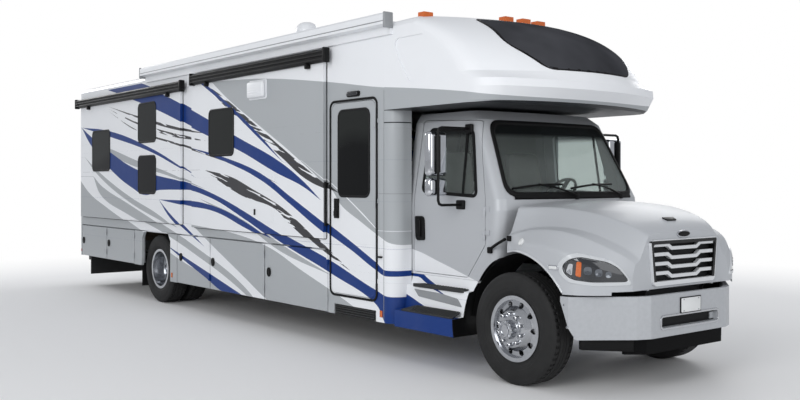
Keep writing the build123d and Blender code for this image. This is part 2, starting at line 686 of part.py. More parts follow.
CAP_PANE = [(-HOUSE_HALF + 695, NOSE_TOP + 32), (HOUSE_HALF - 695, NOSE_TOP + 32),
            (HOUSE_HALF - 435, NOSE_TOP + 0.45 * CAP_RISE), (HOUSE_HALF - 545, ROOF_TOP - 18),
            (-HOUSE_HALF + 545, ROOF_TOP - 18), (-HOUSE_HALF + 435, NOSE_TOP + 0.45 * CAP_RISE)]


def build_cap_window():
    """Dark front pane, a thin layer standing on the cap's sloping nose."""
    with BuildPart(mode=Mode.PRIVATE) as body:
        with BuildSketch(Plane.YZ.offset(at(-1250))) as face:
            with BuildLine():
                Polyline(*CAP_PANE, close=True)
            make_face()
            fillet(face.vertices(), 90)
        extrude(amount=1450)
        add(cap_form(-6), mode=Mode.INTERSECT)
        add(cap_form(), mode=Mode.SUBTRACT)
    return body.part


NODES["over_cab_cap"] = build_cap()

# Cab shell: plan outlines stacked up Z, hollow, open to the house behind
CAB_T = 45
CAB_ROWS = [
    # z, half width, front x at the middle, front x at the corner
    (880, 1028, -330, -345),
    (1560, 1040, -200, -300),
    (1665, 1034, -196, -312),
    (CAB_TOP - 95, 915, -640, -690),
    (CAB_TOP, 850, -760, -810),
]


def cab_form(inset=0, rear=CAB_REAR):
    with BuildPart(mode=Mode.PRIVATE) as body:
        for row, (z, half, middle, corner) in enumerate(CAB_ROWS):
            lift = {0: inset, len(CAB_ROWS) - 1: -inset}.get(row, 0)
            width = half - inset
            with BuildSketch(Plane.XY.offset(z + lift)) as plan:
                with BuildLine():
                    Polyline((at(corner) - inset, -width), (rear, -width), (rear, width),
                             (at(corner) - inset, width))
                    ThreePointArc((at(corner) - inset, width), (at(middle) - inset, 0),
                                  (at(corner) - inset, -width))
                make_face()
                fillet(plan.vertices().filter_by(lambda v: v.X > at(-1200)), 110 - inset / 2)
        loft(ruled=True)
    return body.part


ARCH_R = 690
FRONT_ARCH = rod((at(0), -1500, AXLE_Z), (0, 1, 0), ARCH_R, 3000)
CAB_DOOR_REAR = CORNER_FRONT + 20
CAB_DOOR = [(CAB_DOOR_REAR + 2, 905), (at(-745), 905), (at(-492), 1235), (at(-492), 1660),
            (at(-690), CAB_TOP - 110), (CAB_DOOR_REAR + 33, CAB_TOP - 70)]
CAB_DOOR_CUT = [(CAB_DOOR_REAR - GAP, 899), (at(-742), 899), (at(-486), 1232), (at(-486), 1661),
                (at(-685), CAB_TOP - 104), (CAB_DOOR_REAR + 25 - GAP, CAB_TOP - 64)]
CAB_PANE = [(CAB_DOOR_REAR + 140, 1745), (at(-640), 1705), (at(-775), CAB_TOP - 210),
            (CAB_DOOR_REAR + 160, CAB_TOP - 185)]
SHIELD = [(-915, 1715), (915, 1715), (800, CAB_TOP - 130), (-800, CAB_TOP - 130)]
CAB_HINGES = [1280, 1500]
CAB_SOLID = cab_form()
CAB_SHELL = cut(CAB_SOLID, cab_form(CAB_T, CAB_REAR - 60))
CAB_SKIN = cut(CAB_SOLID, cab_form(12, CAB_REAR - 60))


def shrink(points, amount):
    """Move a convex outline's corners toward its middle."""
    mid_u = sum(point[0] for point in points) / len(points)
    mid_v = sum(point[1] for point in points) / len(points)
    return [(u - amount if u > mid_u else u + amount, v - amount if v > mid_v else v + amount)
            for u, v in points]


CAB_FLOOR = block(CAB_REAR, at(-300), -980, -600, CAB_ROWS[0][0] - 10, CAB_ROWS[0][0] + CAB_T)


def build_cab_shell():
    right_door = cut(side_prism(CAB_DOOR_CUT, -1300, -700, 40), CAB_FLOOR)
    doors = [right_door, mirrored(right_door)]
    shield = front_prism(SHIELD, at(-900), at(0), 80)
    rear_pass = block(CAB_REAR - 10, CAB_REAR + 60, -600, 600, FLOOR_Z + 85, CAB_TOP - 85)
    shell = cut(CAB_SHELL, FRONT_ARCH, shield, rear_pass, *doors)
    barrels = [frame_barrel(at(-489), 1040, z, 14) for z in CAB_HINGES]
    return fuse(shell, *barrels, *[mirrored(barrel) for barrel in barrels])


def build_cab_door():
    leaf = common(CAB_SHELL, side_prism(CAB_DOOR, -1300, -700, 34))
    leaf = cut(leaf, side_prism(CAB_PANE, -1300, -700, 45), CAB_FLOOR)
    barrels = [door_barrel(at(-489), 1040, z, 14) for z in CAB_HINGES]
    return fuse(leaf, *barrels)


NODES["cab_shell"] = build_cab_shell()
NODES["cab_door_right"] = build_cab_door()
NODES["cab_door_left"] = mirrored(NODES["cab_door_right"])
NODES["cab_door_glass_right"] = common(CAB_SKIN, side_prism(shrink(CAB_PANE, SEAT), -1300, -700, 45))
NODES["cab_door_glass_left"] = mirrored(NODES["cab_door_glass_right"])


def build_fixed_glass():
    """Windshield, cap window and the left side's windows."""
    shield = common(CAB_SKIN, front_prism(shrink(SHIELD, SEAT), at(-900), at(0), 80))
    panes = [side_prism(shrink(rect(*row), SEAT), HOUSE_HALF - 16, HOUSE_HALF + 4, WINDOW_R - SEAT)
             for row in LEFT_WINDOWS]
    return fuse(shield, build_cap_window(), *panes)


NODES["fixed_glass"] = build_fixed_glass()


# Mirrors: two heads on a tube, held by arms on the cab door
MIRROR_X, MIRROR_Y = at(-815), 1345
MIRROR_LOW, MIRROR_TOP = 1590, CAB_TOP - 170


def build_mirror():
    tube = rod((MIRROR_X, -MIRROR_Y, MIRROR_LOW), (0, 0, 1), 14, MIRROR_TOP - MIRROR_LOW)
    head_x, head_y = (MIRROR_X - 120, MIRROR_X - 7), (-MIRROR_Y - 95, -MIRROR_Y + 83)
    head = block(*head_x, *head_y, MIRROR_LOW + 295, MIRROR_TOP - 55)
    lower = block(*head_x, *head_y, MIRROR_LOW + 100, MIRROR_LOW + 275)
    arms = [block(MIRROR_X - 14, MIRROR_X + 14, -MIRROR_Y, -880, MIRROR_TOP - 29, MIRROR_TOP),
            block(MIRROR_X - 14, MIRROR_X + 14, -MIRROR_Y, -1000, MIRROR_LOW, MIRROR_LOW + 29)]
    return cut(fuse(tube, head, lower, *arms), CAB_SOLID)


NODES["mirror_right"] = build_mirror()
NODES["mirror_left"] = mirrored(NODES["mirror_right"])

# Hood with fenders: sections along X, hollow, arches cut, grille opening in front
HOOD_T = 25
HOOD_LOW = 872
HOOD_ROWS = [
    # x, side y, z, fender crest y, z, valley y, z, shoulder y, z, crown z
    (-172, 1062, 1250, 1050, 1332, 1012, 1356, 905, 1600, 1650),
    (40, 1128, 1270, 1060, 1385, 985, 1402, 830, 1600, 1648),
    (250, 1162, 1272, 1050, 1410, 945, 1426, 765, 1592, 1634),
    (450, 1170, 1252, 1035, 1402, 905, 1420, 705, 1566, 1605),
    (650, 1142, 1205, 990, 1360, 850, 1382, 640, 1522, 1558),
    (800, 1040, 1145, 915, 1297, 785, 1322, 588, 1470, 1504),
    (920, 860, 1075, 785, 1208, 690, 1238, 530, 1405, 1440),
    (975, 715, 1025, 680, 1122, 618, 1160, 500, 1362, 1398),
]
HOOD_ROUND = {"side": 70, "crest": 32, "valley": 40, "shoulder": 60}


def hood_form(inset=0, rounded=True):
    last = len(HOOD_ROWS) - 1
    with BuildPart(mode=Mode.PRIVATE) as body:
        for row, (x, *sizes) in enumerate(HOOD_ROWS):
            side, side_z, crest, crest_z, valley, valley_z, shoulder, shoulder_z, crown = sizes
            shift = {0: -4 * abs(inset), last: -inset}.get(row, 0)
            corners = {"side": (side - inset, side_z), "crest": (crest - inset, crest_z - inset * 0.7),
                       "valley": (valley - inset * 0.8, valley_z - inset * 0.8),
                       "shoulder": (shoulder - inset * 0.6, shoulder_z - inset)}
            low = HOOD_LOW - 3 * abs(inset)
            right = [(side - inset, low), *corners.values()]
            with BuildSketch(Plane.YZ.offset(at(x + shift))) as section:
                with BuildLine():
                    Polyline(*[(-y, z) for y, z in reversed(right)], *right)
                    ThreePointArc(right[-1], (0, crown - inset), (-right[-1][0], right[-1][1]))
                make_face()
                if rounded:
                    for name, (y, z) in corners.items():
                        fillet([v for v in section.vertices() if abs(abs(v.X) - y) < 0.01 and abs(v.Y - z) < 0.01],
                               HOOD_ROUND[name])
        loft()
    return body.part


GRILLE = [(-455, 925), (455, 925), (500, 1325), (-500, 1325)]
HOOD_SOLID = hood_form()


def build_hood():
    opening = front_prism(GRILLE, at(900), at(1100), 45)
    eye_y = PIVOT_HALF - 20
    lugs = [block(PIVOT_X - 27, PIVOT_X + 31, s * eye_y - 14, s * eye_y + 14, PIVOT_Z - 27, PIVOT_Z + 27)
            for s in (-1, 1)]
    bores = [rod((PIVOT_X, s * eye_y - 25, PIVOT_Z), (0, 1, 0), PIVOT_R + SEAT, 50) for s in (-1, 1)]
    under_edge = block(at(880), at(1100), -900, 900, HOOD_LOW - 100, PIVOT_Z - 15)
    shell = cut(HOOD_SOLID, hood_form(HOOD_T, rounded=False), FRONT_ARCH, opening, under_edge)
    return cut(fuse(shell, *lugs), *bores)


def build_grille():
    """Surround with four stepped bars, set in the hood's front opening."""
    frame = cut(front_prism(shrink(GRILLE, SEAT), at(950), at(1000), 45),
                front_prism(shrink(GRILLE, 38), at(900), at(1100), 25))
    bars = []
    for row in range(4):
        z = 985 + 82 * row
        bars.append(front_prism([(-480, z + 34), (-250, z + 34), (-190, z), (190, z), (250, z + 34),
                                 (480, z + 34), (480, z + 64), (236, z + 64), (178, z + 30),
                                 (-178, z + 30), (-236, z + 64), (-480, z + 64)], at(955), at(990)))
    inside = front_prism(shrink(GRILLE, 10), at(940), at(995), 40)
    return fuse(frame, common(fuse(*bars), inside))


LAMP_PLANE = Plane(origin=(at(780), -1000, 1070), x_dir=(0.622, 0.783, 0), z_dir=(0.783, -0.622, 0))
LAMP = [(-242, 45), (-225, -18), (-170, -60), (-20, -78), (280, -78), (290, -60), (205, 33), (113, 78),
        (-107, 117), (-190, 100)]


def build_headlamp():
    lens = common(hood_form(-10), prism(LAMP_PLANE.offset(-300), LAMP, 600, 12))
    return cut(lens, HOOD_SOLID)


NODES["hood"] = build_hood()
NODES["grille"] = build_grille()
LAMP_RIGHT = build_headlamp()
NODES["headlamps"] = fuse(LAMP_RIGHT, mirrored(LAMP_RIGHT))


# Front bumper: three flat faces in plan, slot in the middle, guard below
def build_front_bumper():
    plan = [(at(1050), -560), (at(1050), 560), (at(1000), 690), (at(650), 1160), (at(565), 1165),
            (at(565), 1118), (at(630), 1112), (at(955), 660), (at(1008), 545), (at(1008), -545),
            (at(955), -660), (at(630), -1112), (at(565), -1118), (at(565), -1165), (at(650), -1160),
            (at(1000), -690)]
    slant = side_prism([(at(500), 470), (at(696), 470), (at(562), 820), (at(562), 870), (at(500), 870)],
                       -1300, 1300)
    bar = cut(plan_prism(plan, 490, 855), slant)
    slot = block(at(900), at(1100), -420, 420, 570, 660)
    guard = plan_prism([(at(1000), -560), (at(1000), 560), (at(880), 700), (at(850), 700),
                        (at(960), 545), (at(960), -545), (at(850), -700), (at(880), -700)], 350, 495)
    arms = [block(at(760), at(1012), s * RAIL_MID - 35, s * RAIL_MID + 35, 580, RAIL_Z - SEAT) for s in (-1, 1)]
    tie = block(at(962), at(1012), -430, 430, 480, 560)
    return fuse(cut(bar, slot), guard, tie, *arms)


NODES["front_bumper"] = build_front_bumper()


# Cab steps: closed fairings with two treads
def build_cab_step():
    outline = [(-HOUSE_HALF + 10, 352), (-HOUSE_HALF + 10, 520), (-1130, 530), (-1105, 770), (-1050, 780), (-1030, 878),
               (-700, 878), (-700, 720), (-RAIL_OUT - SEAT, 720), (-RAIL_OUT - SEAT, 660), (-760, 600), (-900, 352)]
    body = front_prism(outline, CORNER_FRONT + SEAT, at(-600))
    return cut(body, FRONT_ARCH, block(at(-1000), at(0), -1400, 0, 0, 100))


STEP_RIGHT = build_cab_step()
NODES["cab_steps"] = fuse(STEP_RIGHT, mirrored(STEP_RIGHT))

# Cab interior: dashboard with steering wheel, two seats
SEAT_ROWS = [-520, 520]


def build_dashboard():
    body = side_prism([(at(-420), 1250), (at(-420), 1620), (at(-560), 1640), (at(-760), 1540),
                       (at(-760), 1380), (at(-560), 1250)], -940, 940)
    column = side_prism([(at(-740), 1460), (at(-740), 1520), (at(-945), 1690), (at(-975), 1655)], 500, 540)
    with BuildPart(mode=Mode.PRIVATE) as ring:
        with Locations(Location((at(-960), 520, 1690), (0, -50, 0))):
            Torus(215, 16)
            Box(400, 50, 22)
            Cylinder(60, 40)
    brace = cut(block(at(-430), at(-200), -500, 500, 1420, 1520), CAB_SHELL)
    return fuse(body, column, ring.part, common(brace, block(at(-430), at(-262), -500, 500, 1400, 1600)))


def build_seat(y):
    rear, top = CORNER_FRONT + 80, CAB_TOP - 385
    cushion = block(rear, rear + 500, y - 250, y + 250, 1340, 1480)
    back = side_prism([(rear, 1400), (rear + 120, 1470), (rear + 20, top), (rear - 100, top)],
                      y - 250, y + 250)
    base = block(rear + 50, rear + 420, y - 180, y + 180, 880 + CAB_T, 1345)
    return fuse(cushion, back, base)


NODES["dashboard"] = build_dashboard()
NODES["cab_seats"] = fuse(*[build_seat(y) for y in SEAT_ROWS])

# Roof gear: two air conditioners, vent and antenna dome; awning case on the right
ROOF_BOXES = [
    # middle x, middle y, length, width, height
    (HOUSE_FRONT_X - 1560, 0, 980, 720, 290), (aft(-780), 0, 980, 720, 290), (aft(1720), 250, 420, 420, 110),
]


def build_roof_units():
    units = []
    for x, y, length, width, height in ROOF_BOXES:
        low, high = ROOF_TOP, ROOF_TOP + height
        units.append(side_prism([(x - length / 2, low), (x + length / 2, low),
                                 (x + length / 2, low + height * 0.4), (x + length / 2 - 170, high),
                                 (x - length / 2 + 90, high), (x - length / 2, high - 60)],
                                y - width / 2, y + width / 2))
    with BuildPart(mode=Mode.PRIVATE) as dome:
        with BuildSketch(Plane.XY.offset(ROOF_TOP)):
            with Locations((HOUSE_FRONT_X - 2220, -800)):
                Circle(165)
        extrude(amount=340, taper=5)
        fillet(dome.faces().sort_by(Axis.Z)[-1].edges(), 115)
    return fuse(*units, dome.part)


NODES["roof_units"] = build_roof_units()
AWNING = [
    # out from the house side, up from the roof top
    (117, -42), (117, 55), (90, 80), (20, 80), (0, 60), (0, -140), (27, -140), (27, -55),
]
NODES["awning_case"] = front_prism([(-HOUSE_HALF - out, ROOF_TOP + up) for out, up in AWNING],
                                   aft(-310), HOUSE_FRONT_X + 140)


# Rear bumper with the full-width flap, and the hitch receiver
def build_rear_bumper():
    half = HOUSE_HALF - 135
    bar = block(REAR_X + 10, REAR_X + 130, -half, half, 440, REAR_SKIRT_Z - SEAT)
    flap = block(REAR_X + 100, REAR_X + 112, -half, half, 190, 441)
    return fuse(bar, flap)


HITCH_Z = 480
HITCH_PIN = 215


def build_hitch():
    tube = block(REAR_X + 2, REAR_X + 420, -38, 38, HITCH_Z - 38, HITCH_Z + 38)
    beam = block(REAR_X + 300, REAR_X + 400, -RAIL_OUT, RAIL_OUT, HITCH_Z - 38, HITCH_Z + 38)
    plates = [block(REAR_X + 300, REAR_X + 400, s * RAIL_MID - 40, s * RAIL_MID + 40, HITCH_Z, RAIL_Z - SEAT)
              for s in (-1, 1)]
    socket = block(REAR_X - 10, REAR_X + 290, -25.5, 25.5, HITCH_Z - 25.5, HITCH_Z + 25.5)
    pin = rod((REAR_X + HITCH_PIN, -60, HITCH_Z), (0, 1, 0), 8.2, 120)
    return cut(fuse(tube, beam, *plates), socket, pin)


NODES["hitch_receiver"] = build_hitch()
NODES["rear_bumper"] = cut(build_rear_bumper(), block(REAR_X - 5, REAR_X + 450, -44, 44, 400, 560))

# Lamps: five on the cap, tail lamps, side markers
CAP_LAMP_Y = [-HOUSE_HALF + 205, -240, 0, 240, HOUSE_HALF - 205]


def build_lamps():
    cap_lamps = []
    for y in CAP_LAMP_Y:
        x = at(-990) - CAP_DEPTH * (y / HOUSE_HALF) ** 2
        cap_lamps.append(cut(block(x - 50, x + 45, y - 60, y + 60, ROOF_TOP - 70, ROOF_TOP + 65), cap_form()))
    tails = [front_prism(shrink(rect(*row), SEAT), REAR_X, REAR_X + LAMP_DEPTH - SEAT) for row in TAIL_LAMPS]
    return fuse(*cap_lamps, *tails)


NODES["marker_lamps"] = build_lamps()

# Entry fittings: folded step under the door and the grab rail beside it


def build_entry_fittings():
    rear, front, _, step_top = STEP_CUT
    step = block(rear + 10, front - 10, -HOUSE_HALF + 6, -HOUSE_HALF + 500, SKIRT_Z + 7, step_top - 8)
    hanger = block(rear + 50, front - 50, -HOUSE_HALF + 420, -HOUSE_HALF + 720, step_top - 8, step_top + 42)
    leg = block(rear + 150, front - 150, -HOUSE_HALF + 670, -HOUSE_HALF + 720, step_top + 22, FLOOR_Z - SEAT)
    rail_x, rail_low = POST_REAR + 11, FLOOR_Z + 220
    rail = rod((rail_x, -HOUSE_HALF - 45, rail_low), (0, 0, 1), 12, 500)
    feet = [rod((rail_x, -HOUSE_HALF - 45, z), (0, 1, 0), 10, 45) for z in (rail_low + 20, rail_low + 480)]
    return fuse(step, hanger, leg, fuse(rail, *feet))


NODES["entry_fittings"] = build_entry_fittings()

for name, shape in NODES.items():
    with BuildPart() as node:
        add(shape)
    export_step(node.part, f"parts/{name}.step")
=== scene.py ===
"""Looks of the motorhome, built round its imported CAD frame.

Frame: +X forward, +Y to the vehicle's left, +Z up, metres.
"""
import math

import bpy
from mathutils import Matrix, Vector


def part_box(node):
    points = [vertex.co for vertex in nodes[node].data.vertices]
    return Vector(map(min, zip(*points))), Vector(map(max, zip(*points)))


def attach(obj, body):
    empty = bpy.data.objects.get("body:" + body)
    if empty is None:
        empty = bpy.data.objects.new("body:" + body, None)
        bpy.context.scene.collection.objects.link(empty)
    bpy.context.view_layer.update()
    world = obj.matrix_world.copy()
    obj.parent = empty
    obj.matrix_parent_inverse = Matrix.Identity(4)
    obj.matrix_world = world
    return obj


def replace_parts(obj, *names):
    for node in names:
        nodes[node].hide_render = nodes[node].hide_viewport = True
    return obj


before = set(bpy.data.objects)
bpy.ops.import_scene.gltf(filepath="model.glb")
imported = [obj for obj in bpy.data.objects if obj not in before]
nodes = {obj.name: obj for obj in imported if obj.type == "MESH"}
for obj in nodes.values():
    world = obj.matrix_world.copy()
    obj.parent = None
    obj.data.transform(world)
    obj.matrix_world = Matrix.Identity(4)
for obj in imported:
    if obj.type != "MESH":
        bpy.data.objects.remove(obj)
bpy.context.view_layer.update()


# Frame rails, axles, springs and engine
# Rolled steel rails with pressed axles and spring packs, sprayed with chassis black.
# Dust and road film make the finish uneven, so colour, gloss and bump follow noise.
def tint(red, green, blue):
    """Colour as picked on a screen, turned to the linear values that shaders take."""
    def linear(level):
        share = level / 255
        return share / 12.92 if share <= 0.04045 else ((share + 0.055) / 1.055) ** 2.4
    return (linear(red), linear(green), linear(blue), 1)


def new_finish(name, roughness, metallic=0.0, coat=0.0):
    """Empty material, with its nodes and its shader."""
    finish = bpy.data.materials.new(name)
    finish.use_nodes = True
    shader = finish.node_tree.nodes["Principled BSDF"]
    shader.inputs["Roughness"].default_value = roughness
    shader.inputs["Metallic"].default_value = metallic
    shader.inputs["Coat Weight"].default_value = coat
    return finish, finish.node_tree.nodes, shader


def link(source, socket):
    """Lead an output into an input of the same material."""
    socket.id_data.links.new(source, socket)


def noise_of(tree, place, scale, detail=2.0):
    """Noise of a given size over the piece, as a value."""
    noise = tree.new("ShaderNodeTexNoise")
    noise.inputs["Scale"].default_value = scale
    noise.inputs["Detail"].default_value = detail
    link(place.outputs["Object"], noise.inputs["Vector"])
    return noise.outputs["Fac"]


def blended(tree, first, second, share):
    """Colour that goes from the first to the second as share goes from 0 to 1."""
    mix = tree.new("ShaderNodeMix")
    mix.data_type = "RGBA"
    for socket, value in (("A", first), ("B", second), ("Factor", share)):
        if isinstance(value, bpy.types.NodeSocket):
            link(value, mix.inputs[socket])
        else:
            mix.inputs[socket].default_value = value
    return mix.outputs["Result"]


def ranged(tree, value, from_low, from_high, to_low=0.0, to_high=1.0):
    """Value carried from one range to another."""
    span = tree.new("ShaderNodeMapRange")
    limits = {"From Min": from_low, "From Max": from_high, "To Min": to_low, "To Max": to_high}
    for socket, limit in limits.items():
        span.inputs[socket].default_value = limit
    link(value, span.inputs["Value"])
    return span.outputs["Result"]


def raised(tree, shader, height, strength, distance):
    """Fine relief on the surface."""
    relief = tree.new("ShaderNodeBump")
    relief.inputs["Strength"].default_value = strength
    relief.inputs["Distance"].default_value = distance
    link(height, relief.inputs["Height"])
    link(relief.outputs["Normal"], shader.inputs["Normal"])


def grainy(name, colour, roughness, metallic=0.0, coat=0.0, scale=40.0, shade=0.12, bump=0.05, gleam=0.5):
    """Finish whose colour, gloss and surface vary with two sizes of noise."""
    finish, tree, shader = new_finish(name, roughness, metallic, coat)
    place = tree.new("ShaderNodeTexCoord")
    fine = noise_of(tree, place, scale, 4)
    broad = noise_of(tree, place, scale / 18, 3)
    worn = tuple(part * (1 - shade) for part in colour[:3]) + (1,)
    gloss = ranged(tree, broad, 0, 1, max(roughness - 0.08, 0.02), min(roughness + 0.08, 1))
    shader.inputs["Specular IOR Level"].default_value = gleam
    link(blended(tree, colour, worn, broad), shader.inputs["Base Color"])
    link(gloss, shader.inputs["Roughness"])
    raised(tree, shader, fine, bump, 0.002)
    return finish


def dress(finish, *names):
    """Give CAD nodes their finish."""
    for name in names:
        nodes[name].data.materials.clear()
        nodes[name].data.materials.append(finish)


chassis_black = grainy("chassis_black", tint(30, 31, 33), 0.55, scale=60, shade=0.4, bump=0.25)
cast_grey = grainy("cast_grey", tint(62, 63, 64), 0.6, metallic=0.4, scale=90, shade=0.35, bump=0.4)
dress(chassis_black, "chassis_frame", "leaf_springs", "front_axle", "rear_axle", "hitch_receiver",
      "rear_bumper")
dress(cast_grey, "engine_block", "knuckle_right", "knuckle_left")


# Tyres
# Moulded rubber truck tyres with five ribs, sipes in the shoulders and stepped side walls.
# One is spun from its profile and copied to the two front and four rear places.
axle_low, axle_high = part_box("front_tyre_right")
FRONT_AXLE_X = (axle_low.x + axle_high.x) / 2
AXLE_Z = (axle_low.z + axle_high.z) / 2
FRONT_TYRE_Y = (axle_low.y + axle_high.y) / 2
dual_low, dual_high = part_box("rear_tyres_right")
REAR_AXLE_X = (dual_low.x + dual_high.x) / 2
TYRE_HALF = (axle_high.y - axle_low.y) / 2
DUAL_OUT_Y, DUAL_IN_Y = dual_low.y + TYRE_HALF, dual_high.y - TYRE_HALF
TYRE_R = (axle_high.z - axle_low.z) / 2


def settle(name, body, finish, angle=35):
    """Name the active piece, put its place into its mesh and fix it to its body."""
    piece = bpy.context.object
    bpy.ops.object.transform_apply(location=True, rotation=True, scale=True)
    bpy.ops.object.shade_smooth_by_angle(angle=math.radians(angle))
    piece.name = name
    piece.data.name = name
    piece.data.materials.clear()
    piece.data.materials.append(finish)
    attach(piece, body)
    return piece


def flat_loop(corners, fill="NGON"):
    """Loop or flat face through the given corner points, left as the active piece."""
    bpy.ops.mesh.primitive_circle_add(vertices=len(corners), fill_type=fill)
    piece = bpy.context.object
    for vertex, corner in zip(piece.data.vertices, corners):
        vertex.co = corner
    return piece


def spin_profile(profile, steps, centre=(0, 0, 0)):
    """Closed (radius, y) profile turned about the Y axis through a centre."""
    piece = flat_loop([(centre[0], centre[1] + y, centre[2] + radius) for radius, y in profile], "NOTHING")
    bpy.ops.object.mode_set(mode="EDIT")
    bpy.ops.mesh.select_all(action="SELECT")
    bpy.ops.mesh.spin(steps=steps, angle=math.tau, center=centre, axis=(0, 1, 0))
    bpy.ops.mesh.select_all(action="SELECT")
    bpy.ops.mesh.remove_doubles(threshold=0.0001)
    bpy.ops.mesh.normals_make_consistent(inside=False)
    bpy.ops.object.mode_set(mode="OBJECT")
    return piece


def make_active(piece):
    bpy.ops.object.select_all(action="DESELECT")
    piece.select_set(True)
    bpy.context.view_layer.objects.active = piece


def copy_of(piece, shift):
    """Copy with its own mesh, moved by shift."""
    make_active(piece)
    bpy.ops.object.duplicate()
    twin = bpy.context.object
    twin.location = shift
    bpy.ops.object.transform_apply(location=True, rotation=False, scale=False)
    return twin


def rubber():
    """Black rubber with a grey bloom and a fine skin."""
    finish, tree, shader = new_finish("tyre_rubber", 0.72)
    place = tree.new("ShaderNodeTexCoord")
    bloom = noise_of(tree, place, 9, 6)
    shader.inputs["Specular IOR Level"].default_value = 0.4
    link(blended(tree, tint(20, 20, 21), tint(38, 38, 38), bloom), shader.inputs["Base Color"])
    raised(tree, shader, noise_of(tree, place, 420), 0.25, 0.001)
    return finish


TREAD_STEPS = 108
RIB_EDGES = (0.013, 0.019, 0.057, 0.064)
GROOVE = 0.014
SIDE_STEPS = [
    # radius, half width
    (0.2865, 0.106), (0.303, 0.107), (0.309, 0.114), (0.334, 0.127), (0.338, 0.1305), (0.366, 0.134),
    (0.369, 0.1365), (0.405, 0.1372), (0.43, 0.1365), (0.434, 0.1345), (0.466, 0.132), (0.478, 0.130),
    (0.486, 0.124), (0.498, 0.115),
]
tread_half = [(TYRE_R - 0.0035, 0.108), (TYRE_R, 0.1)]
for upper, lower in zip(RIB_EDGES[::-1][::2], RIB_EDGES[::-1][1::2]):
    tread_half += [(TYRE_R, upper), (TYRE_R - GROOVE, upper - 0.001), (TYRE_R - GROOVE, lower + 0.001),
                   (TYRE_R, lower)]
half = SIDE_STEPS + tread_half
profile = [(radius, -y) for radius, y in half] + [(radius, y) for radius, y in reversed(half)]
master = spin_profile(profile, TREAD_STEPS)
bpy.ops.object.mode_set(mode="EDIT")
bpy.ops.mesh.select_mode(type="FACE")
bpy.ops.object.mode_set(mode="OBJECT")
for polygon in master.data.polygons:
    reach = math.hypot(polygon.center.x, polygon.center.z)
    turn = int(round((math.atan2(polygon.center.x, polygon.center.z) / math.tau) * TREAD_STEPS - 0.5))
    on_shoulder = reach > TYRE_R - 0.003 and abs(polygon.center.y) > 0.066
    polygon.select = on_shoulder and turn % 2 == 0
bpy.ops.object.mode_set(mode="EDIT")
bpy.ops.mesh.inset(thickness=0.0035, depth=-0.009, use_individual=True)
bpy.ops.object.mode_set(mode="OBJECT")
tyre_rubber = rubber()
TYRE_PLACES = [
    # name, body, x, y, CAD node that it stands for
    ("front_tyre_tread_right", "front_wheel_right", FRONT_AXLE_X, FRONT_TYRE_Y, "front_tyre_right"),
    ("front_tyre_tread_left", "front_wheel_left", FRONT_AXLE_X, -FRONT_TYRE_Y, "front_tyre_left"),
    ("rear_outer_tread_right", "rear_wheels_right", REAR_AXLE_X, DUAL_OUT_Y, "rear_tyres_right"),
    ("rear_inner_tread_right", "rear_wheels_right", REAR_AXLE_X, DUAL_IN_Y, "rear_tyres_right"),
    ("rear_outer_tread_left", "rear_wheels_left", REAR_AXLE_X, -DUAL_OUT_Y, "rear_tyres_left"),
    ("rear_inner_tread_left", "rear_wheels_left", REAR_AXLE_X, -DUAL_IN_Y, "rear_tyres_left"),
]
for name, body, x, y, node in TYRE_PLACES:
    copy_of(master, (x, y, AXLE_Z))
    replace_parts(settle(name, body, tyre_rubber, 28), node)
make_active(master)
bpy.ops.object.delete()


# Wheels
# Polished forged discs with ten hand holes, held by ten capped nuts round a chrome hub.
# The nuts and the hub's own bolts come from one function and are set round each wheel.
def polished(name, colour, roughness, streak):
    """Bright metal whose colour and gloss vary with noise."""
    finish, tree, shader = new_finish(name, roughness, 1.0)
    marks = noise_of(tree, tree.new("ShaderNodeTexCoord"), streak, 5)
    worn = tuple(part * 0.8 for part in colour[:3]) + (1,)
    gloss = ranged(tree, marks, 0, 1, roughness * 0.6, roughness * 1.7)
    link(gloss, shader.inputs["Roughness"])
    link(blended(tree, colour, worn, marks), shader.inputs["Base Color"])
    return finish


alloy = polished("polished_alloy", tint(196, 198, 202), 0.17, 30)
chrome = polished("chrome", tint(214, 216, 220), 0.07, 14)
dress(alloy, "front_wheel_right", "front_wheel_left", "rear_wheels_right", "rear_wheels_left")
NUTS, NUT_R, NUT_OUT = 10, 0.017, 0.036
HUB_BOLTS, HUB_BOLT_R, HUB_BOLT_OUT = 8, 0.0075, 0.011
HUB_CIRCLE, HUB_SINK = 0.071, 0.004
WHEEL_SETS = [
    # name, body, axle x, side, nut circle radius, |y| of the nut seat, |y| of the hub end
    ("front_right", "front_wheel_right", FRONT_AXLE_X, -1, 0.138, 1.184, 1.27),
    ("front_left", "front_wheel_left", FRONT_AXLE_X, 1, 0.138, 1.184, 1.27),
    ("rear_right", "rear_wheels_right", REAR_AXLE_X, -1, 0.155, 0.951, 1.084),
    ("rear_left", "rear_wheels_left", REAR_AXLE_X, 1, 0.155, 0.951, 1.084),
]


def inset_end(piece, axis, sign, *steps):
    """Inset the end face that looks along an axis, once for each (thickness, depth) step."""
    for polygon in piece.data.polygons:
        polygon.select = sign * polygon.normal[axis] > 0.9
    make_active(piece)
    bpy.ops.object.mode_set(mode="EDIT")
    for thickness, depth in steps:
        bpy.ops.mesh.inset(thickness=thickness, depth=depth)
    bpy.ops.object.mode_set(mode="OBJECT")


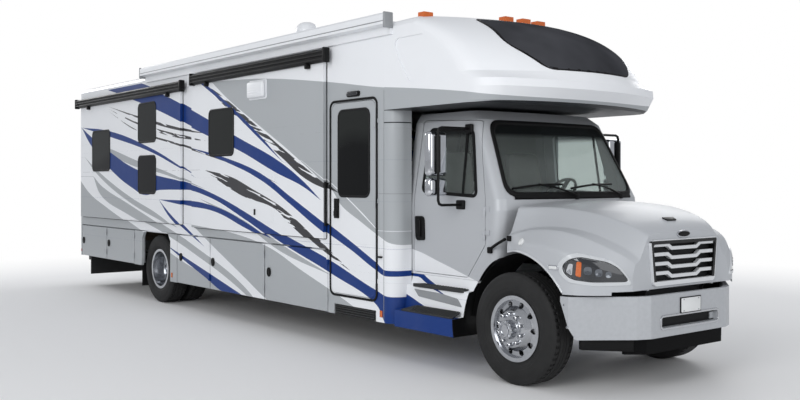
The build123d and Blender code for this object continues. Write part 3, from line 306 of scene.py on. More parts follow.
def capped_nut(x, y, z, side, radius, length):
    """Twelve-sided nut cover with a flange and a domed end, pointing outward."""
    bpy.ops.mesh.primitive_cylinder_add(vertices=12, radius=radius, depth=length,
                                        location=(x, y + side * length / 2, z),
                                        rotation=(-side * math.pi / 2, 0, 0))
    piece = bpy.context.object
    inset_end(piece, 2, 1, (radius * 0.3, length * 0.12), (radius * 0.35, length * 0.08))
    for polygon in piece.data.polygons:
        polygon.select = polygon.normal.z < -0.9
    bpy.ops.object.mode_set(mode="EDIT")
    bpy.ops.mesh.extrude_region_move(TRANSFORM_OT_translate={"value": (0, 0, 0)})
    bpy.ops.transform.resize(value=(1.35, 1.35, 1.35))
    bpy.ops.object.mode_set(mode="OBJECT")
    bpy.ops.object.transform_apply(location=True, rotation=True, scale=True)
    return piece


def join(pieces):
    bpy.ops.object.select_all(action="DESELECT")
    for piece in pieces:
        piece.select_set(True)
    bpy.context.view_layer.objects.active = pieces[0]
    bpy.ops.object.join()
    return bpy.context.object


def nut_ring(count, axle_x, circle, y, side, radius, length):
    """Capped nuts set evenly round an axle."""
    nuts = []
    for turn in range(count):
        angle = math.tau * turn / count
        x, z = axle_x + circle * math.sin(angle), AXLE_Z + circle * math.cos(angle)
        nuts.append(capped_nut(x, y, z, side, radius, length))
    return nuts


for name, body, axle_x, side, circle, seat, hub_end in WHEEL_SETS:
    join(nut_ring(NUTS, axle_x, circle, side * seat, side, NUT_R, NUT_OUT))
    settle("wheel_nuts_" + name, body, chrome, 40)
    base = side * (hub_end - HUB_SINK)
    bolts = nut_ring(HUB_BOLTS, axle_x, HUB_CIRCLE, base, side, HUB_BOLT_R, HUB_BOLT_OUT)
    rim = spin_profile([(0.046, base), (0.058, base), (0.056, side * (hub_end + 0.009)),
                        (0.048, side * (hub_end + 0.012))], 40, (axle_x, 0, AXLE_Z))
    join([rim] + bolts)
    settle("hub_cover_" + name, body, chrome, 40)


# House side paint
# White gel-coat panels with sweeping bands of grey, charcoal and blue vinyl under clear coat.
# Each band lies between two edge curves over the vehicle's length, so it runs on from panel to
# panel and moves with a door or a slide.
WHITE = tint(236, 238, 241)
GREY = tint(172, 176, 179)
CHARCOAL = tint(60, 60, 63)
BLUE = tint(10, 52, 122)
SIDE_SPAN = 11.6
SIDE_TALL = 4.0
STROKE_CUT = 0.435
BANDS = [
    # colour, upper edge (x, z), lower edge (x, z)
    (GREY, [(-0.75, 3.17), (0.58, 3.1), (1.95, 2.95), (3.06, 2.8), (4.2, 2.7)],
     [(-0.75, 3.17), (-0.27, 2.9), (0.51, 2.53), (1.43, 2.09), (2.05, 1.74), (2.25, 1.56), (2.6, 1.4),
      (2.88, 1.28), (3.2, 1.17), (4.2, 1.12)]),
    (WHITE, [(1.5, 2.075), (2.2, 1.735), (2.83, 1.37), (2.9, 1.32)],
     [(1.5, 2.07), (2.2, 1.722), (2.83, 1.357), (2.9, 1.315)]),
    (GREY,
     [(-5.8, 1.89), (-5.21, 1.6), (-4.62, 1.43), (-2.8, 0.97), (-1.93, 0.73), (-0.2, 0.36), (0.2, 0.2)],
     [(-5.8, 0.1), (0.2, 0.1)]),
    (GREY,
     [(-5.1, 1.92), (-4.71, 1.75), (-3.57, 1.47), (-2.44, 1.2), (-1.44, 0.95), (0.2, 0.42), (0.5, 0.2)],
     [(-5.1, 1.92), (-4.71, 1.58), (-3.57, 1.3), (-2.44, 1.08), (-1.44, 0.84), (0.0, 0.42),
      (0.5, 0.2)]),
    (GREY, [(-5.5, 2.25), (-4.84, 1.99), (-3.57, 1.6), (-2.44, 1.33), (-1.9, 1.16)],
     [(-5.5, 2.25), (-4.84, 1.92), (-3.57, 1.51), (-2.44, 1.26), (-1.9, 1.16)]),
    (GREY, [(-1.44, 1.23), (-0.41, 1.17), (0.63, 1.03), (1.43, 0.79), (2.34, 0.52), (3.1, 0.25)],
     [(-1.44, 1.23), (-0.98, 1.03), (0.0, 0.63), (0.63, 0.37), (1.1, 0.2), (3.1, 0.2)]),
    (GREY, [(-4.9, 2.46), (-4.31, 2.36), (-3.18, 2.14), (-2.44, 2.02), (-1.6, 1.86), (-0.9, 1.72)],
     [(-4.9, 2.46), (-4.31, 2.27), (-3.18, 2.04), (-2.44, 1.96), (-1.6, 1.83), (-0.9, 1.72)]),
    (GREY, [(-1.13, 1.6), (0.0, 1.37), (0.98, 1.07), (2.05, 0.78)],
     [(-1.13, 1.6), (0.0, 1.31), (0.98, 0.98), (2.05, 0.78)]),
    (CHARCOAL, [(-0.95, 3.16), (-0.41, 2.94), (0.51, 2.5), (1.43, 2.06), (2.2, 1.7)],
     [(-0.95, 3.16), (-0.41, 2.84), (0.26, 2.51), (1.05, 2.12), (1.64, 1.84), (2.2, 1.7)]),
    (CHARCOAL,
     [(-0.98, 1.99), (-0.21, 1.89), (0.38, 1.73), (0.98, 1.55), (1.43, 1.36), (2.05, 1.04),
      (2.4, 0.86)],
     [(-0.98, 1.99), (-0.49, 1.82), (0.13, 1.64), (0.87, 1.51), (1.21, 1.34), (1.85, 1.06),
      (2.4, 0.86)]),
    (CHARCOAL, [(-4.4, 3.06), (-3.2, 2.84), (-1.76, 2.6), (-0.9, 2.48)],
     [(-4.4, 3.06), (-3.2, 2.81), (-1.76, 2.56), (-0.9, 2.48)]),
    (CHARCOAL, [(-4.4, 3.02), (-3.2, 2.74), (-1.76, 2.5), (-0.9, 2.38)],
     [(-4.4, 3.02), (-3.2, 2.71), (-1.76, 2.45), (-0.9, 2.38)]),
    (CHARCOAL, [(-4.4, 2.98), (-3.2, 2.62), (-1.76, 2.37), (0.3, 1.98), (1.0, 1.8)],
     [(-4.4, 2.98), (-3.2, 2.6), (-1.76, 2.34), (0.3, 1.96), (1.0, 1.8)]),
    (BLUE,
     [(-5.0, 3.44), (-3.5, 3.4), (-2.26, 3.1), (-0.98, 2.71), (0.0, 2.39), (0.95, 2.09), (1.5, 1.85),
      (1.9, 1.62)],
     [(-5.0, 3.44), (-3.37, 3.1), (-2.44, 2.88), (-0.98, 2.48), (0.0, 2.23), (0.95, 1.93), (1.5, 1.78),
      (1.9, 1.62)]),
    (BLUE, [(-1.5, 3.36), (-0.81, 3.1), (-0.31, 2.86), (0.48, 2.435), (1.1, 2.05)],
     [(-1.5, 3.36), (-0.81, 3.05), (-0.31, 2.81), (0.48, 2.385), (1.1, 2.05)]),
    (BLUE,
     [(-1.44, 2.31), (-0.41, 2.15), (0.56, 1.93), (1.21, 1.67), (1.85, 1.41), (2.44, 1.17),
      (2.88, 0.98), (3.05, 0.91), (3.4, 0.91)],
     [(-1.44, 2.31), (-0.41, 2.1), (0.56, 1.85), (1.21, 1.58), (1.85, 1.3), (2.44, 1.08), (2.88, 0.9),
      (3.05, 0.85), (3.4, 0.86)]),
    (BLUE, [(-5.65, 2.77), (-4.4, 2.66), (-2.8, 2.35), (-1.76, 2.06), (-1.22, 1.88)],
     [(-5.65, 2.77), (-4.4, 2.57), (-2.8, 2.29), (-1.76, 2.03), (-1.22, 1.88)]),
    (BLUE,
     [(-5.65, 2.77), (-5.3, 2.63), (-4.31, 2.3), (-3.18, 2.0), (-2.44, 1.91), (-1.6, 1.82),
      (-0.83, 1.69), (0.0, 1.49), (0.98, 1.21), (2.05, 0.94), (2.88, 0.69), (3.1, 0.64), (3.6, 0.64)],
     [(-5.65, 2.77), (-5.21, 2.45), (-4.31, 2.02), (-3.4, 1.72), (-2.9, 1.62), (-2.44, 1.7),
      (-1.6, 1.71), (-0.83, 1.62), (0.0, 1.4), (0.98, 1.09), (2.05, 0.8), (2.88, 0.54), (3.1, 0.3),
      (3.6, 0.2)]),
    (BLUE, [(-2.44, 1.56), (-1.6, 1.56), (-0.69, 1.5), (0.26, 1.29), (0.75, 1.13)],
     [(-2.44, 1.56), (-1.6, 1.49), (-0.69, 1.43), (0.26, 1.22), (0.75, 1.13)]),
    (BLUE, [(-2.44, 1.56), (-2.03, 1.35), (-1.6, 1.17), (-1.04, 0.93)],
     [(-2.44, 1.56), (-2.03, 1.29), (-1.6, 1.12), (-1.04, 0.93)]),
    (BLUE, [(-2.3, 0.9), (-1.7, 0.76), (-0.69, 0.53), (0.0, 0.37), (0.3, 0.3)],
     [(-2.3, 0.9), (-1.7, 0.71), (-0.98, 0.5), (-0.5, 0.36), (0.3, 0.3)]),
]


def edge_curve(tree, along, points):
    """Node that gives the height of a band's edge for a place along the side."""
    curve = tree.new("ShaderNodeFloatCurve")
    line = curve.mapping.curves[0]
    while len(line.points) > 2:
        line.points.remove(line.points[1])
    places = [((x + SIDE_SPAN / 2) / SIDE_SPAN, z / SIDE_TALL) for x, z in points]
    line.points[0].location = places[0]
    line.points[-1].location = places[-1]
    for place in places[1:-1]:
        line.points.new(*place)
    for point in line.points:
        point.handle_type = "AUTO_CLAMPED"
    curve.mapping.extend = "HORIZONTAL"
    curve.mapping.update()
    link(along, curve.inputs["Value"])
    return curve.outputs["Value"]


def combine(tree, operation, first, second):
    node = tree.new("ShaderNodeMath")
    node.operation = operation
    for socket, value in zip(node.inputs, (first, second)):
        if isinstance(value, (int, float)):
            socket.default_value = value
        else:
            link(value, socket)
    return node.outputs[0]


def axes_of(tree, place):
    """X, Y and Z of a place on the piece."""
    split = tree.new("ShaderNodeSeparateXYZ")
    link(place.outputs["Object"], split.inputs["Vector"])
    return split.outputs


def striped(name, ground, bands, roughness, coat, metallic=0.0, well=0.0):
    """Paint with bands over a ground colour, charcoal ones brushed, and black in the front wheel well."""
    finish, tree, shader = new_finish(name, roughness, metallic, coat)
    shader.inputs["Coat Roughness"].default_value = 0.06
    shader.inputs["Specular IOR Level"].default_value = 0.22
    place = tree.new("ShaderNodeTexCoord")
    axes = axes_of(tree, place)
    along = combine(tree, "MULTIPLY_ADD", axes["X"], 1 / SIDE_SPAN)
    along.node.inputs[2].default_value = 0.5
    height = combine(tree, "MULTIPLY", axes["Z"], 1 / SIDE_TALL)
    brush = tree.new("ShaderNodeMapping")
    brush.vector_type = "TEXTURE"
    brush.inputs["Rotation"].default_value = (0, math.radians(14), 0)
    brush.inputs["Scale"].default_value = (0.55, 1, 0.045)
    bristles = tree.new("ShaderNodeTexNoise")
    bristles.inputs["Scale"].default_value = 1
    link(place.outputs["Object"], brush.inputs["Vector"])
    link(brush.outputs["Vector"], bristles.inputs["Vector"])
    stroke = combine(tree, "GREATER_THAN", bristles.outputs["Fac"], STROKE_CUT)
    colour = ground
    for band_colour, upper, lower in bands:
        under = combine(tree, "LESS_THAN", height, edge_curve(tree, along, upper))
        over = combine(tree, "GREATER_THAN", height, edge_curve(tree, along, lower))
        inside = combine(tree, "MULTIPLY", under, over)
        if band_colour == CHARCOAL:
            inside = combine(tree, "MULTIPLY", inside, stroke)
        colour = blended(tree, colour, band_colour, inside)
    if well:
        ahead = combine(tree, "SUBTRACT", axes["X"], FRONT_AXLE_X)
        above = combine(tree, "SUBTRACT", axes["Z"], AXLE_Z)
        reach = combine(tree, "ADD", combine(tree, "MULTIPLY", ahead, ahead),
                        combine(tree, "MULTIPLY", above, above))
        inside = combine(tree, "LESS_THAN", reach, well ** 2)
        colour = blended(tree, colour, tint(16, 16, 17), inside)
    dust = ranged(tree, noise_of(tree, place, 3, 5), 0.45, 0.8, 0, 0.03)
    link(blended(tree, colour, tint(190, 188, 183), dust), shader.inputs["Base Color"])
    raised(tree, shader, noise_of(tree, place, 160), 0.03, 0.0008)
    return finish


house_paint = striped("house_paint", WHITE, BANDS, 0.36, 0.08)
dress(house_paint, "right_wall", "left_wall", "rear_wall", "rear_slide_room", "front_slide_room",
      "entry_door", "skirt_panels", "corner_panels",
      *[name for name in nodes if name.startswith("storage_door")])
floor_board = grainy("floor_board", tint(120, 104, 88), 0.6, scale=50, shade=0.25, bump=0.2)
dress(floor_board, "house_floor")


# Slide-out rooms
# Two rooms that slide out of the right side, with dark windows in black frames and an awning roller
# above each. Rubber wipers on the wall seal them; vent, hatch and rollers are screwed to the rooms.
WALL_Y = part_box("left_wall")[1].y
ROOM_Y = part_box("rear_slide_room")[0].y
black_rubber = grainy("black_rubber", tint(15, 15, 16), 0.6, scale=200, shade=0.3, bump=0.15, gleam=0.2)
black_case = grainy("black_case", tint(15, 15, 16), 0.45, scale=120, shade=0.3, bump=0.08, gleam=0.2)
gel_white = grainy("gel_white", WHITE, 0.32, coat=0.3, scale=70, shade=0.05, bump=0.02)


def soften(piece, width, segments=2):
    """Round off a piece's sharp edges."""
    make_active(piece)
    bevel = piece.modifiers.new("edges", "BEVEL")
    bevel.width = width
    bevel.segments = segments
    bevel.limit_method = "ANGLE"
    bevel.angle_limit = math.radians(40)
    bpy.ops.object.modifier_apply(modifier="edges")
    return piece


def plate(corners, push, radius=0.0, ring=0.0, edge=0.0):
    """Flat outline with rounded corners, opened to a ring if asked, given depth along push."""
    piece = flat_loop(corners)
    bpy.ops.object.mode_set(mode="EDIT")
    bpy.ops.mesh.select_all(action="SELECT")
    if radius:
        bpy.ops.mesh.bevel(offset=radius, segments=6, affect="VERTICES")
        bpy.ops.mesh.select_all(action="SELECT")
    if ring:
        bpy.ops.mesh.inset(thickness=ring)
        bpy.ops.mesh.delete(type="FACE")
        bpy.ops.mesh.select_all(action="SELECT")
    bpy.ops.mesh.extrude_region_move(TRANSFORM_OT_translate={"value": push})
    bpy.ops.mesh.select_all(action="SELECT")
    bpy.ops.mesh.normals_make_consistent(inside=False)
    bpy.ops.object.mode_set(mode="OBJECT")
    return soften(piece, edge) if edge else piece


def side_plate(rear, front, low, high, y, out, radius, ring=0.0, edge=0.0015):
    """Upright plate or ring on a side of the house, standing out from y."""
    corners = [(rear, y, low), (front, y, low), (front, y, high), (rear, y, high)]
    return plate(corners, (0, out, 0), radius, ring, edge)


def block(low, high, edge, segments=2):
    """Box between two corners with rounded edges."""
    bpy.ops.mesh.primitive_cube_add(size=1, location=[(a + b) / 2 for a, b in zip(low, high)])
    piece = bpy.context.object
    piece.scale = [abs(b - a) for a, b in zip(low, high)]
    bpy.ops.object.transform_apply(location=True, rotation=False, scale=True)
    return soften(piece, edge, segments)


def tube(points, radius, bend="VECTOR"):
    """Round bar through the given points, with closed ends."""
    bpy.ops.curve.primitive_bezier_curve_add()
    path = bpy.context.object
    line = path.data.splines[0]
    line.bezier_points.add(len(points) - 2)
    for knot, point in zip(line.bezier_points, points):
        knot.co = point
        knot.handle_left_type = bend
        knot.handle_right_type = bend
    path.data.bevel_depth = radius
    path.data.bevel_resolution = 3
    path.data.use_fill_caps = True
    path.data.resolution_u = 6 if bend == "AUTO" else 1
    bpy.ops.object.convert(target="MESH")
    return bpy.context.object


def window_frame(rear, front, low, high, y, side):
    """Ring that overlaps the edge of a window by 8 mm and stands proud of the wall."""
    return side_plate(rear - FRAME_OUT, front + FRAME_OUT, low - FRAME_OUT, high + FRAME_OUT, y,
                      side * 0.007, 0.085, FRAME_WIDE, 0.002)


FRAME_OUT, FRAME_WIDE = 0.02, 0.028
SLIDE_WINDOWS = [
    # room, rear x, front x, low z, high z
    ("rear_slide", -5.117, -4.354, 2.016, 2.666), ("rear_slide", -3.177, -2.549, 2.435, 3.014),
    ("rear_slide", -3.177, -2.549, 1.655, 2.207), ("front_slide", -0.81, -0.14, 2.18, 2.777),
]
for room in ("rear_slide", "front_slide"):
    low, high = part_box(room + "_room")
    side_plate(low.x - 0.012, high.x + 0.012, low.z - 0.012, high.z + 0.012, -WALL_Y, -0.0045, 0.03, 0.028)
    settle("wiper_seal_" + room, "chassis", black_rubber)
    join([window_frame(*sizes, ROOM_Y, -1) for owner, *sizes in SLIDE_WINDOWS if owner == room])
    settle("window_frames_" + room, room, black_case)
    low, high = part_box(room + "_topper")
    fittings = [tube([(low.x, low.y, low.z + lift), (high.x, low.y, low.z + lift)], 0.009)
                for lift in (0.028, 0.07, 0.112)]
    for x in (low.x, high.x):
        fittings.append(block((x - 0.022, low.y - 0.008, low.z - 0.012),
                              (x + 0.022, high.y, high.z + 0.012), 0.012, 3))
    for share in (0.12, 0.88):
        x = low.x + share * (high.x - low.x)
        fittings.append(block((x - 0.03, low.y + 0.02, low.z - 0.05),
                              (x + 0.03, high.y, low.z + 0.01), 0.008))
    join(fittings)
    settle("roller_fittings_" + room, room, black_case)
dress(black_case, "rear_slide_topper", "front_slide_topper")
vent = block((0.298, ROOM_Y - 0.06, 2.868), (0.691, ROOM_Y, 3.072), 0.03, 4)
flange = side_plate(0.275, 0.714, 2.848, 3.09, ROOM_Y, -0.005, 0.03)
slats = [block((0.33, ROOM_Y - 0.064, z), (0.66, ROOM_Y - 0.05, z + 0.012), 0.004)
         for z in (2.9, 2.93, 2.96)]
join([vent, flange] + slats)
settle("range_vent", "front_slide", gel_white)
side_plate(-0.012, 0.881, 1.34, 1.92, ROOM_Y, -0.004, 0.03)
settle("kitchen_hatch", "front_slide", house_paint, 12)
block((0.405, ROOM_Y - 0.014, 1.412), (0.441, ROOM_Y - 0.004, 1.486), 0.006, 3)
settle("kitchen_hatch_catch", "front_slide", black_case)


# Left windows
# Fixed dark windows in the left wall, each clamped in a black frame.
# The left side has no slide, so the frames stay on the wall.
LEFT_WINDOWS = [
    # rear x, front x, low z, high z
    (-5.117, -4.354, 2.016, 2.666), (-3.177, -2.549, 1.9, 2.6), (-0.81, 0.05, 1.9, 2.6),
    (1.35, 2.05, 1.9, 2.6),
]
join([window_frame(*sizes, WALL_Y, 1) for sizes in LEFT_WINDOWS])
settle("window_frames_left_wall", "chassis", black_case)


# Entry door
# Hinged house door with a tall window, a handle with number keys, a step below and a lamp above.
# The black frame is screwed to the wall; window frame and handle swing with the door.
DOOR_REAR, DOOR_FRONT, DOOR_LOW, DOOR_HIGH = 2.044, 2.866, 0.596, 2.696
side_plate(DOOR_REAR - 0.03, DOOR_FRONT + 0.036, DOOR_LOW - 0.03, DOOR_HIGH + 0.03, -WALL_Y, -0.008,
           0.09, 0.026)
settle("entry_door_frame", "chassis", black_rubber)
side_plate(2.168, 2.768, 1.656, 2.62, -WALL_Y, -0.005, 0.09, 0.026)
settle("entry_window_frame", "entry_door", black_case)
keys = [block((x - 0.012, -WALL_Y - 0.021, z - 0.009), (x + 0.012, -WALL_Y - 0.015, z + 0.009), 0.003)
        for x in (2.137, 2.173) for z in (1.545, 1.578, 1.611)]
handle = [block((2.11, -WALL_Y - 0.017, 1.425), (2.2, -WALL_Y, 1.642), 0.007, 3),
          block((2.122, -WALL_Y - 0.032, 1.45), (2.188, -WALL_Y - 0.014, 1.505), 0.007, 3)]
join(handle + keys)
settle("entry_handle", "entry_door", black_case)
side_plate(2.35, 2.59, 2.746, 2.806, -WALL_Y, -0.014, 0.025, edge=0.004)
settle("porch_lamp_base", "chassis", black_case)
block((2.372, -WALL_Y - 0.034, 2.757), (2.568, -WALL_Y - 0.012, 2.796), 0.009, 3)
smoked_lens = grainy("smoked_lens", tint(46, 47, 50), 0.2, scale=90)
settle("porch_lamp_lens", "chassis", smoked_lens)
block((2.925, -WALL_Y - 0.03, 1.037), (2.985, -WALL_Y, 1.055), 0.004)
settle("door_catch", "chassis", black_case)
join([tube([(2.125, -WALL_Y + 0.004, z), (2.845, -WALL_Y + 0.004, z)], 0.006)
      for z in (0.39, 0.415, 0.44, 0.462)])
settle("entry_step_ribs", "chassis", cast_grey)
dress(black_case, "entry_fittings")


# Storage doors and side markers
# Each storage door along the skirt is held by an oval paddle latch set in its skin.
# Amber and red marker lamps are screwed to the skirt on both sides.
LATCHES = [
    # door, x, z
    ("right_1", -5.653, 0.797), ("right_2", -4.494, 0.805), ("right_3", -1.771, 0.745),
    ("right_4", -0.786, 0.741), ("right_5", 0.691, 0.718), ("left_1", -5.653, 0.797),
    ("left_2", -0.786, 0.741),
]


def paddle_latch(x, z, side):
    """Oval dish with a raised rim and a pull paddle inside."""
    bpy.ops.mesh.primitive_cylinder_add(vertices=32, radius=0.052, depth=0.016,
                                        rotation=(math.pi / 2, 0, 0),
                                        location=(x, side * (WALL_Y + 0.006), z))
    dish = bpy.context.object
    dish.scale = (0.8, 1.08, 1)
    bpy.ops.object.transform_apply(location=True, rotation=True, scale=True)
    inset_end(dish, 1, side, (0.007, 0), (0.003, -0.007))
    paddle = block((x - 0.02, side * (WALL_Y + 0.004), z - 0.03),
                   (x + 0.02, side * (WALL_Y + 0.012), z + 0.03), 0.006, 3)
    return join([dish, paddle])


SIDES = ((-1, "right"), (1, "left"))
for door, x, z in LATCHES:
    paddle_latch(x, z, -1 if door.startswith("right") else 1)
    settle("latch_" + door, "storage_door_" + door, black_case)
amber_lens = grainy("amber_lens", tint(214, 104, 32), 0.22, coat=0.6, scale=90, shade=0.25)
red_lens = grainy("red_lens", tint(168, 24, 26), 0.22, coat=0.6, scale=90, shade=0.25)
for side, tag in SIDES:
    markers = []
    for x, z in ((2.962, 0.454), (-2.08, 0.462)):
        markers.append(block((x - 0.022, side * WALL_Y, z - 0.035),
                             (x + 0.022, side * (WALL_Y + 0.009), z + 0.035), 0.005, 3))
    join(markers)
    settle("side_markers_" + tag, "chassis", amber_lens)
    block((-5.785, side * WALL_Y, 0.595), (-5.757, side * (WALL_Y + 0.009), 0.64), 0.005, 3)
    settle("rear_marker_" + tag, "chassis", red_lens)


# Mud flaps and wheel wells
# Rubber flaps hang on steel rods behind the twin rear wheels; black plates close the wells above them.
# Curved plastic liners close the front wheel arches, part on the hood and part on the cab.
def grid_of(rows, thickness):
    """Surface through rows of points, given an even thickness."""
    bpy.ops.mesh.primitive_grid_add(x_subdivisions=len(rows[0]) - 1, y_subdivisions=len(rows) - 1)
    piece = bpy.context.object
    for vertex, point in zip(piece.data.vertices, [point for row in rows for point in row]):
        vertex.co = point
    bpy.ops.object.mode_set(mode="EDIT")
    bpy.ops.mesh.select_all(action="SELECT")
    bpy.ops.mesh.remove_doubles(threshold=0.0001)
    bpy.ops.mesh.normals_make_consistent(inside=False)
    bpy.ops.object.mode_set(mode="OBJECT")
    wall = piece.modifiers.new("wall", "SOLIDIFY")
    wall.thickness = thickness
    wall.offset = 0
    bpy.ops.object.modifier_apply(modifier="wall")
    return piece


FLAP_X = REAR_AXLE_X - 0.6
HOOD_REAR_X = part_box("hood")[0].x
LINER_R = 0.672
for side, tag in SIDES:
    flap = block((FLAP_X, side * 0.68, 0.2), (FLAP_X + 0.01, side * 1.235, 0.64), 0.004)
    rod = tube([(FLAP_X + 0.005, side * 0.43, 0.65), (FLAP_X + 0.005, side * 1.235, 0.65)], 0.016)
    well = block((REAR_AXLE_X - 0.46, side * 0.6, 1.034), (REAR_AXLE_X + 0.51, side * 1.18, 1.044), 0.003)
    join([flap, rod, well])
    settle("mud_flap_" + tag, "chassis", black_rubber)
    for part, body in (("front", "hood"), ("rear", "chassis")):
        split = math.degrees(math.acos((HOOD_REAR_X - FRONT_AXLE_X) / LINER_R))
        angles = (30, split - 1.2) if part == "front" else (split + 1.2, 178)
        rows = []
        for step in range(15):
            angle = math.radians(angles[0] + (angles[1] - angles[0]) * step / 14)
            x, z = FRONT_AXLE_X + LINER_R * math.cos(angle), AXLE_Z + LINER_R * math.sin(angle)
            rows.append([(x, side * (0.62 + share * 0.4), z) for share in (0, 0.5, 1)])
        grid_of(rows, 0.004)
        settle("arch_liner_" + part + "_" + tag, body, black_rubber)


# Roof, roof gear and awning
# White moulded roof with two air conditioners, a vent and an antenna dome, all bolted down on seals.
# The awning case runs along the right edge with moulded end covers.
dress(gel_white, "house_roof", "roof_units", "awning_case")
for tag, x in (("front", 1.45), ("rear", -3.45)):
    slots = []
    for side in (-1, 1):
        for z in (3.53, 3.57, 3.61):
            slots.append(block((x - 0.36, side * 0.358, z), (x + 0.26, side * 0.364, z + 0.014), 0.003))
    join(slots)
    settle("air_conditioner_slots_" + tag, "chassis", black_case)
low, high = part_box("awning_case")
ends = [block((x - 0.014, low.y - 0.003, low.z + 0.06), (x + 0.014, high.y, high.z + 0.003), 0.01, 3)
        for x in (low.x, high.x)]
ends.append(tube([(low.x, low.y + 0.002, low.z + 0.13), (high.x, low.y + 0.002, low.z + 0.13)], 0.006))
join(ends)
awning_grey = grainy("awning_grey", tint(150, 153, 156), 0.4, scale=100, shade=0.15)
settle("awning_ends", "chassis", awning_grey)


# Over-cab cap
# Moulded bunk nose over the cab, white above its brow and grey below it, its underside painted dark as
# painted shade.
# A dark window is bonded to the nose in a black border, and lamps stand along its crest.
# Painted shade: the cap's underside is coloured dark grey where shade falls under the nose.
UNDERSIDE_SHADE = tint(44, 46, 49)
CAP_BANDS = [
    # colour, upper edge (x, z), lower edge (x, z)
    (GREY, [(3.0, 2.81), (3.6, 2.75), (4.2, 2.68), (4.6, 2.625), (4.8, 2.62)], [(3.0, 1.0), (4.8, 1.0)]),
    (UNDERSIDE_SHADE, [(3.0, 2.572), (4.3, 2.572), (4.6, 2.592), (4.8, 2.598)], [(3.0, 1.0), (4.8, 1.0)]),
]
cap_paint = striped("cap_paint", WHITE, CAP_BANDS, 0.4, 0.0)
dress(cap_paint, "over_cab_cap")
CAP_BORDER = [
    # outside y and z, inside y and z
    (-0.605, 2.888, -0.582, 2.91), (0.605, 2.888, 0.582, 2.91), (0.872, 3.158, 0.836, 3.158),
    (0.762, 3.474, 0.726, 3.446), (-0.762, 3.474, -0.726, 3.446), (-0.872, 3.158, -0.836, 3.158),
]
AHEAD_X = 5.4
FACING_FRONT = Matrix(((0, 0, 1, AHEAD_X), (1, 0, 0, 0), (0, 1, 0, 0), (0, 0, 0, 1)))


def outline_points(corners, radius, steps=5, parts=8):
    """Closed outline with rounded corners and its straight stretches cut into even parts."""
    bends = []
    for number, corner in enumerate(corners):
        corner = Vector(corner)
        ends = []
        for other in (corners[number - 1], corners[(number + 1) % len(corners)]):
            run = Vector(other) - corner
            ends.append(corner + run * min(radius / run.length, 0.45))
        shares = [step / steps for step in range(steps + 1)]
        bends.append([ends[0] * (1 - t) ** 2 + corner * 2 * t * (1 - t) + ends[1] * t ** 2 for t in shares])
    points = []
    for bend, following in zip(bends, bends[1:] + bends[:1]):
        points += bend + [bend[-1].lerp(following[0], part / parts) for part in range(1, parts)]
    return points + points[:1]


def pressed(points, turn, target, lift):
    """Points on a plane, carried along its Z axis onto a surface and lifted off it."""
    back = turn.to_3x3() @ Vector((0, 0, -1))
    seated = []
    for point in points:
        place, normal = target.ray_cast(turn @ Vector((point.x, point.y, 0)), back)[1:3]
        seated.append(place + normal * lift)
    return seated


outside = outline_points([(y, z) for y, z, inner_y, inner_z in CAP_BORDER], 0.1)
inside = outline_points([(inner_y, inner_z) for y, z, inner_y, inner_z in CAP_BORDER], 0.09)
rows = []
for share, lift in ((0, -0.002), (0.04, 0.004), (0.35, 0.005), (0.7, 0.005), (0.96, 0.005), (1, -0.002)):
    ring = [start.lerp(stop, share) for start, stop in zip(outside, inside)]
    rows.append(pressed(ring, FACING_FRONT, nodes["over_cab_cap"], lift))
grid_of(rows, 0.002)
settle("cap_window_border", "chassis", black_rubber)
SEAM_R = 0.1415
seam = [(3.012, -1.287), (3.04, -1.287)]
for step in range(7):
    angle = math.radians(-90 + 90 * step / 6)
    seam.append((3.03 + SEAM_R * math.cos(angle), -1.145 + SEAM_R * math.sin(angle)))
seam.append((3.1715, -1.06))
tube([(x, y, 2.44) for x, y in seam], 0.005)
settle("corner_seam", "chassis", black_rubber)
SEAM_Y = WALL_Y + 0.001
join([tube([(3.006, side * SEAM_Y, 0.4), (3.006, side * SEAM_Y, 2.78)], 0.003) for side in (-1, 1)])
settle("wall_corner_seams", "chassis", awning_grey)


# Lamps on the cap and the rear wall
# Moulded lenses, amber along the cap's crest and red low on the rear wall.
# All are solid lenses screwed on from outside.
def split_finish(name, axis, limit, below, above, roughness, coat, metallic=0.0):
    """Finish with one colour below a place on an axis and another above it, both with fine grain."""
    finish, tree, shader = new_finish(name, roughness, metallic, coat)
    place = tree.new("ShaderNodeTexCoord")
    axes = axes_of(tree, place)
    side = combine(tree, "GREATER_THAN", axes[axis], limit)
    dull = tree.new("ShaderNodeMix")
    dull.data_type = "RGBA"
    dull.blend_type = "MULTIPLY"
    dull.inputs["B"].default_value = (0.86, 0.86, 0.86, 1)
    link(blended(tree, below, above, side), dull.inputs["A"])
    link(noise_of(tree, place, 30), dull.inputs["Factor"])
    link(dull.outputs["Result"], shader.inputs["Base Color"])
    link(combine(tree, "MULTIPLY", side, 0.4), shader.inputs["Specular IOR Level"])
    return finish


dress(split_finish("marker_lens", "X", 0, tint(168, 24, 26), tint(214, 104, 32), 0.22, 0.6), "marker_lamps")


# Window glass
# Dark privacy glass in the house and the cap, and clear laminated glass in the cab.
# Each pane is bonded in its frame; the wind-screen has a shade band along its top.
def dark_pane():
    """Deep grey glass with a painted reflection: paler above a wavy painted skyline, as such panes look
    outdoors.
    """
    finish, tree, shader = new_finish("dark_glass", 0.05)
    shader.inputs["Specular IOR Level"].default_value = 0.12
    place = tree.new("ShaderNodeTexCoord")
    axes = axes_of(tree, place)
    # Painted reflection: the glass colour turns paler above a wavy line, standing in for a reflected
    # skyline.
    painted_skyline = combine(tree, "MULTIPLY_ADD", noise_of(tree, place, 0.9, 1), 0.7)
    link(axes["Z"], painted_skyline.node.inputs[2])
    painted_reflection_share = ranged(tree, painted_skyline, 2.5, 2.68)
    link(blended(tree, tint(13, 14, 15), tint(36, 38, 37), painted_reflection_share), shader.inputs["Base Color"])
    return finish


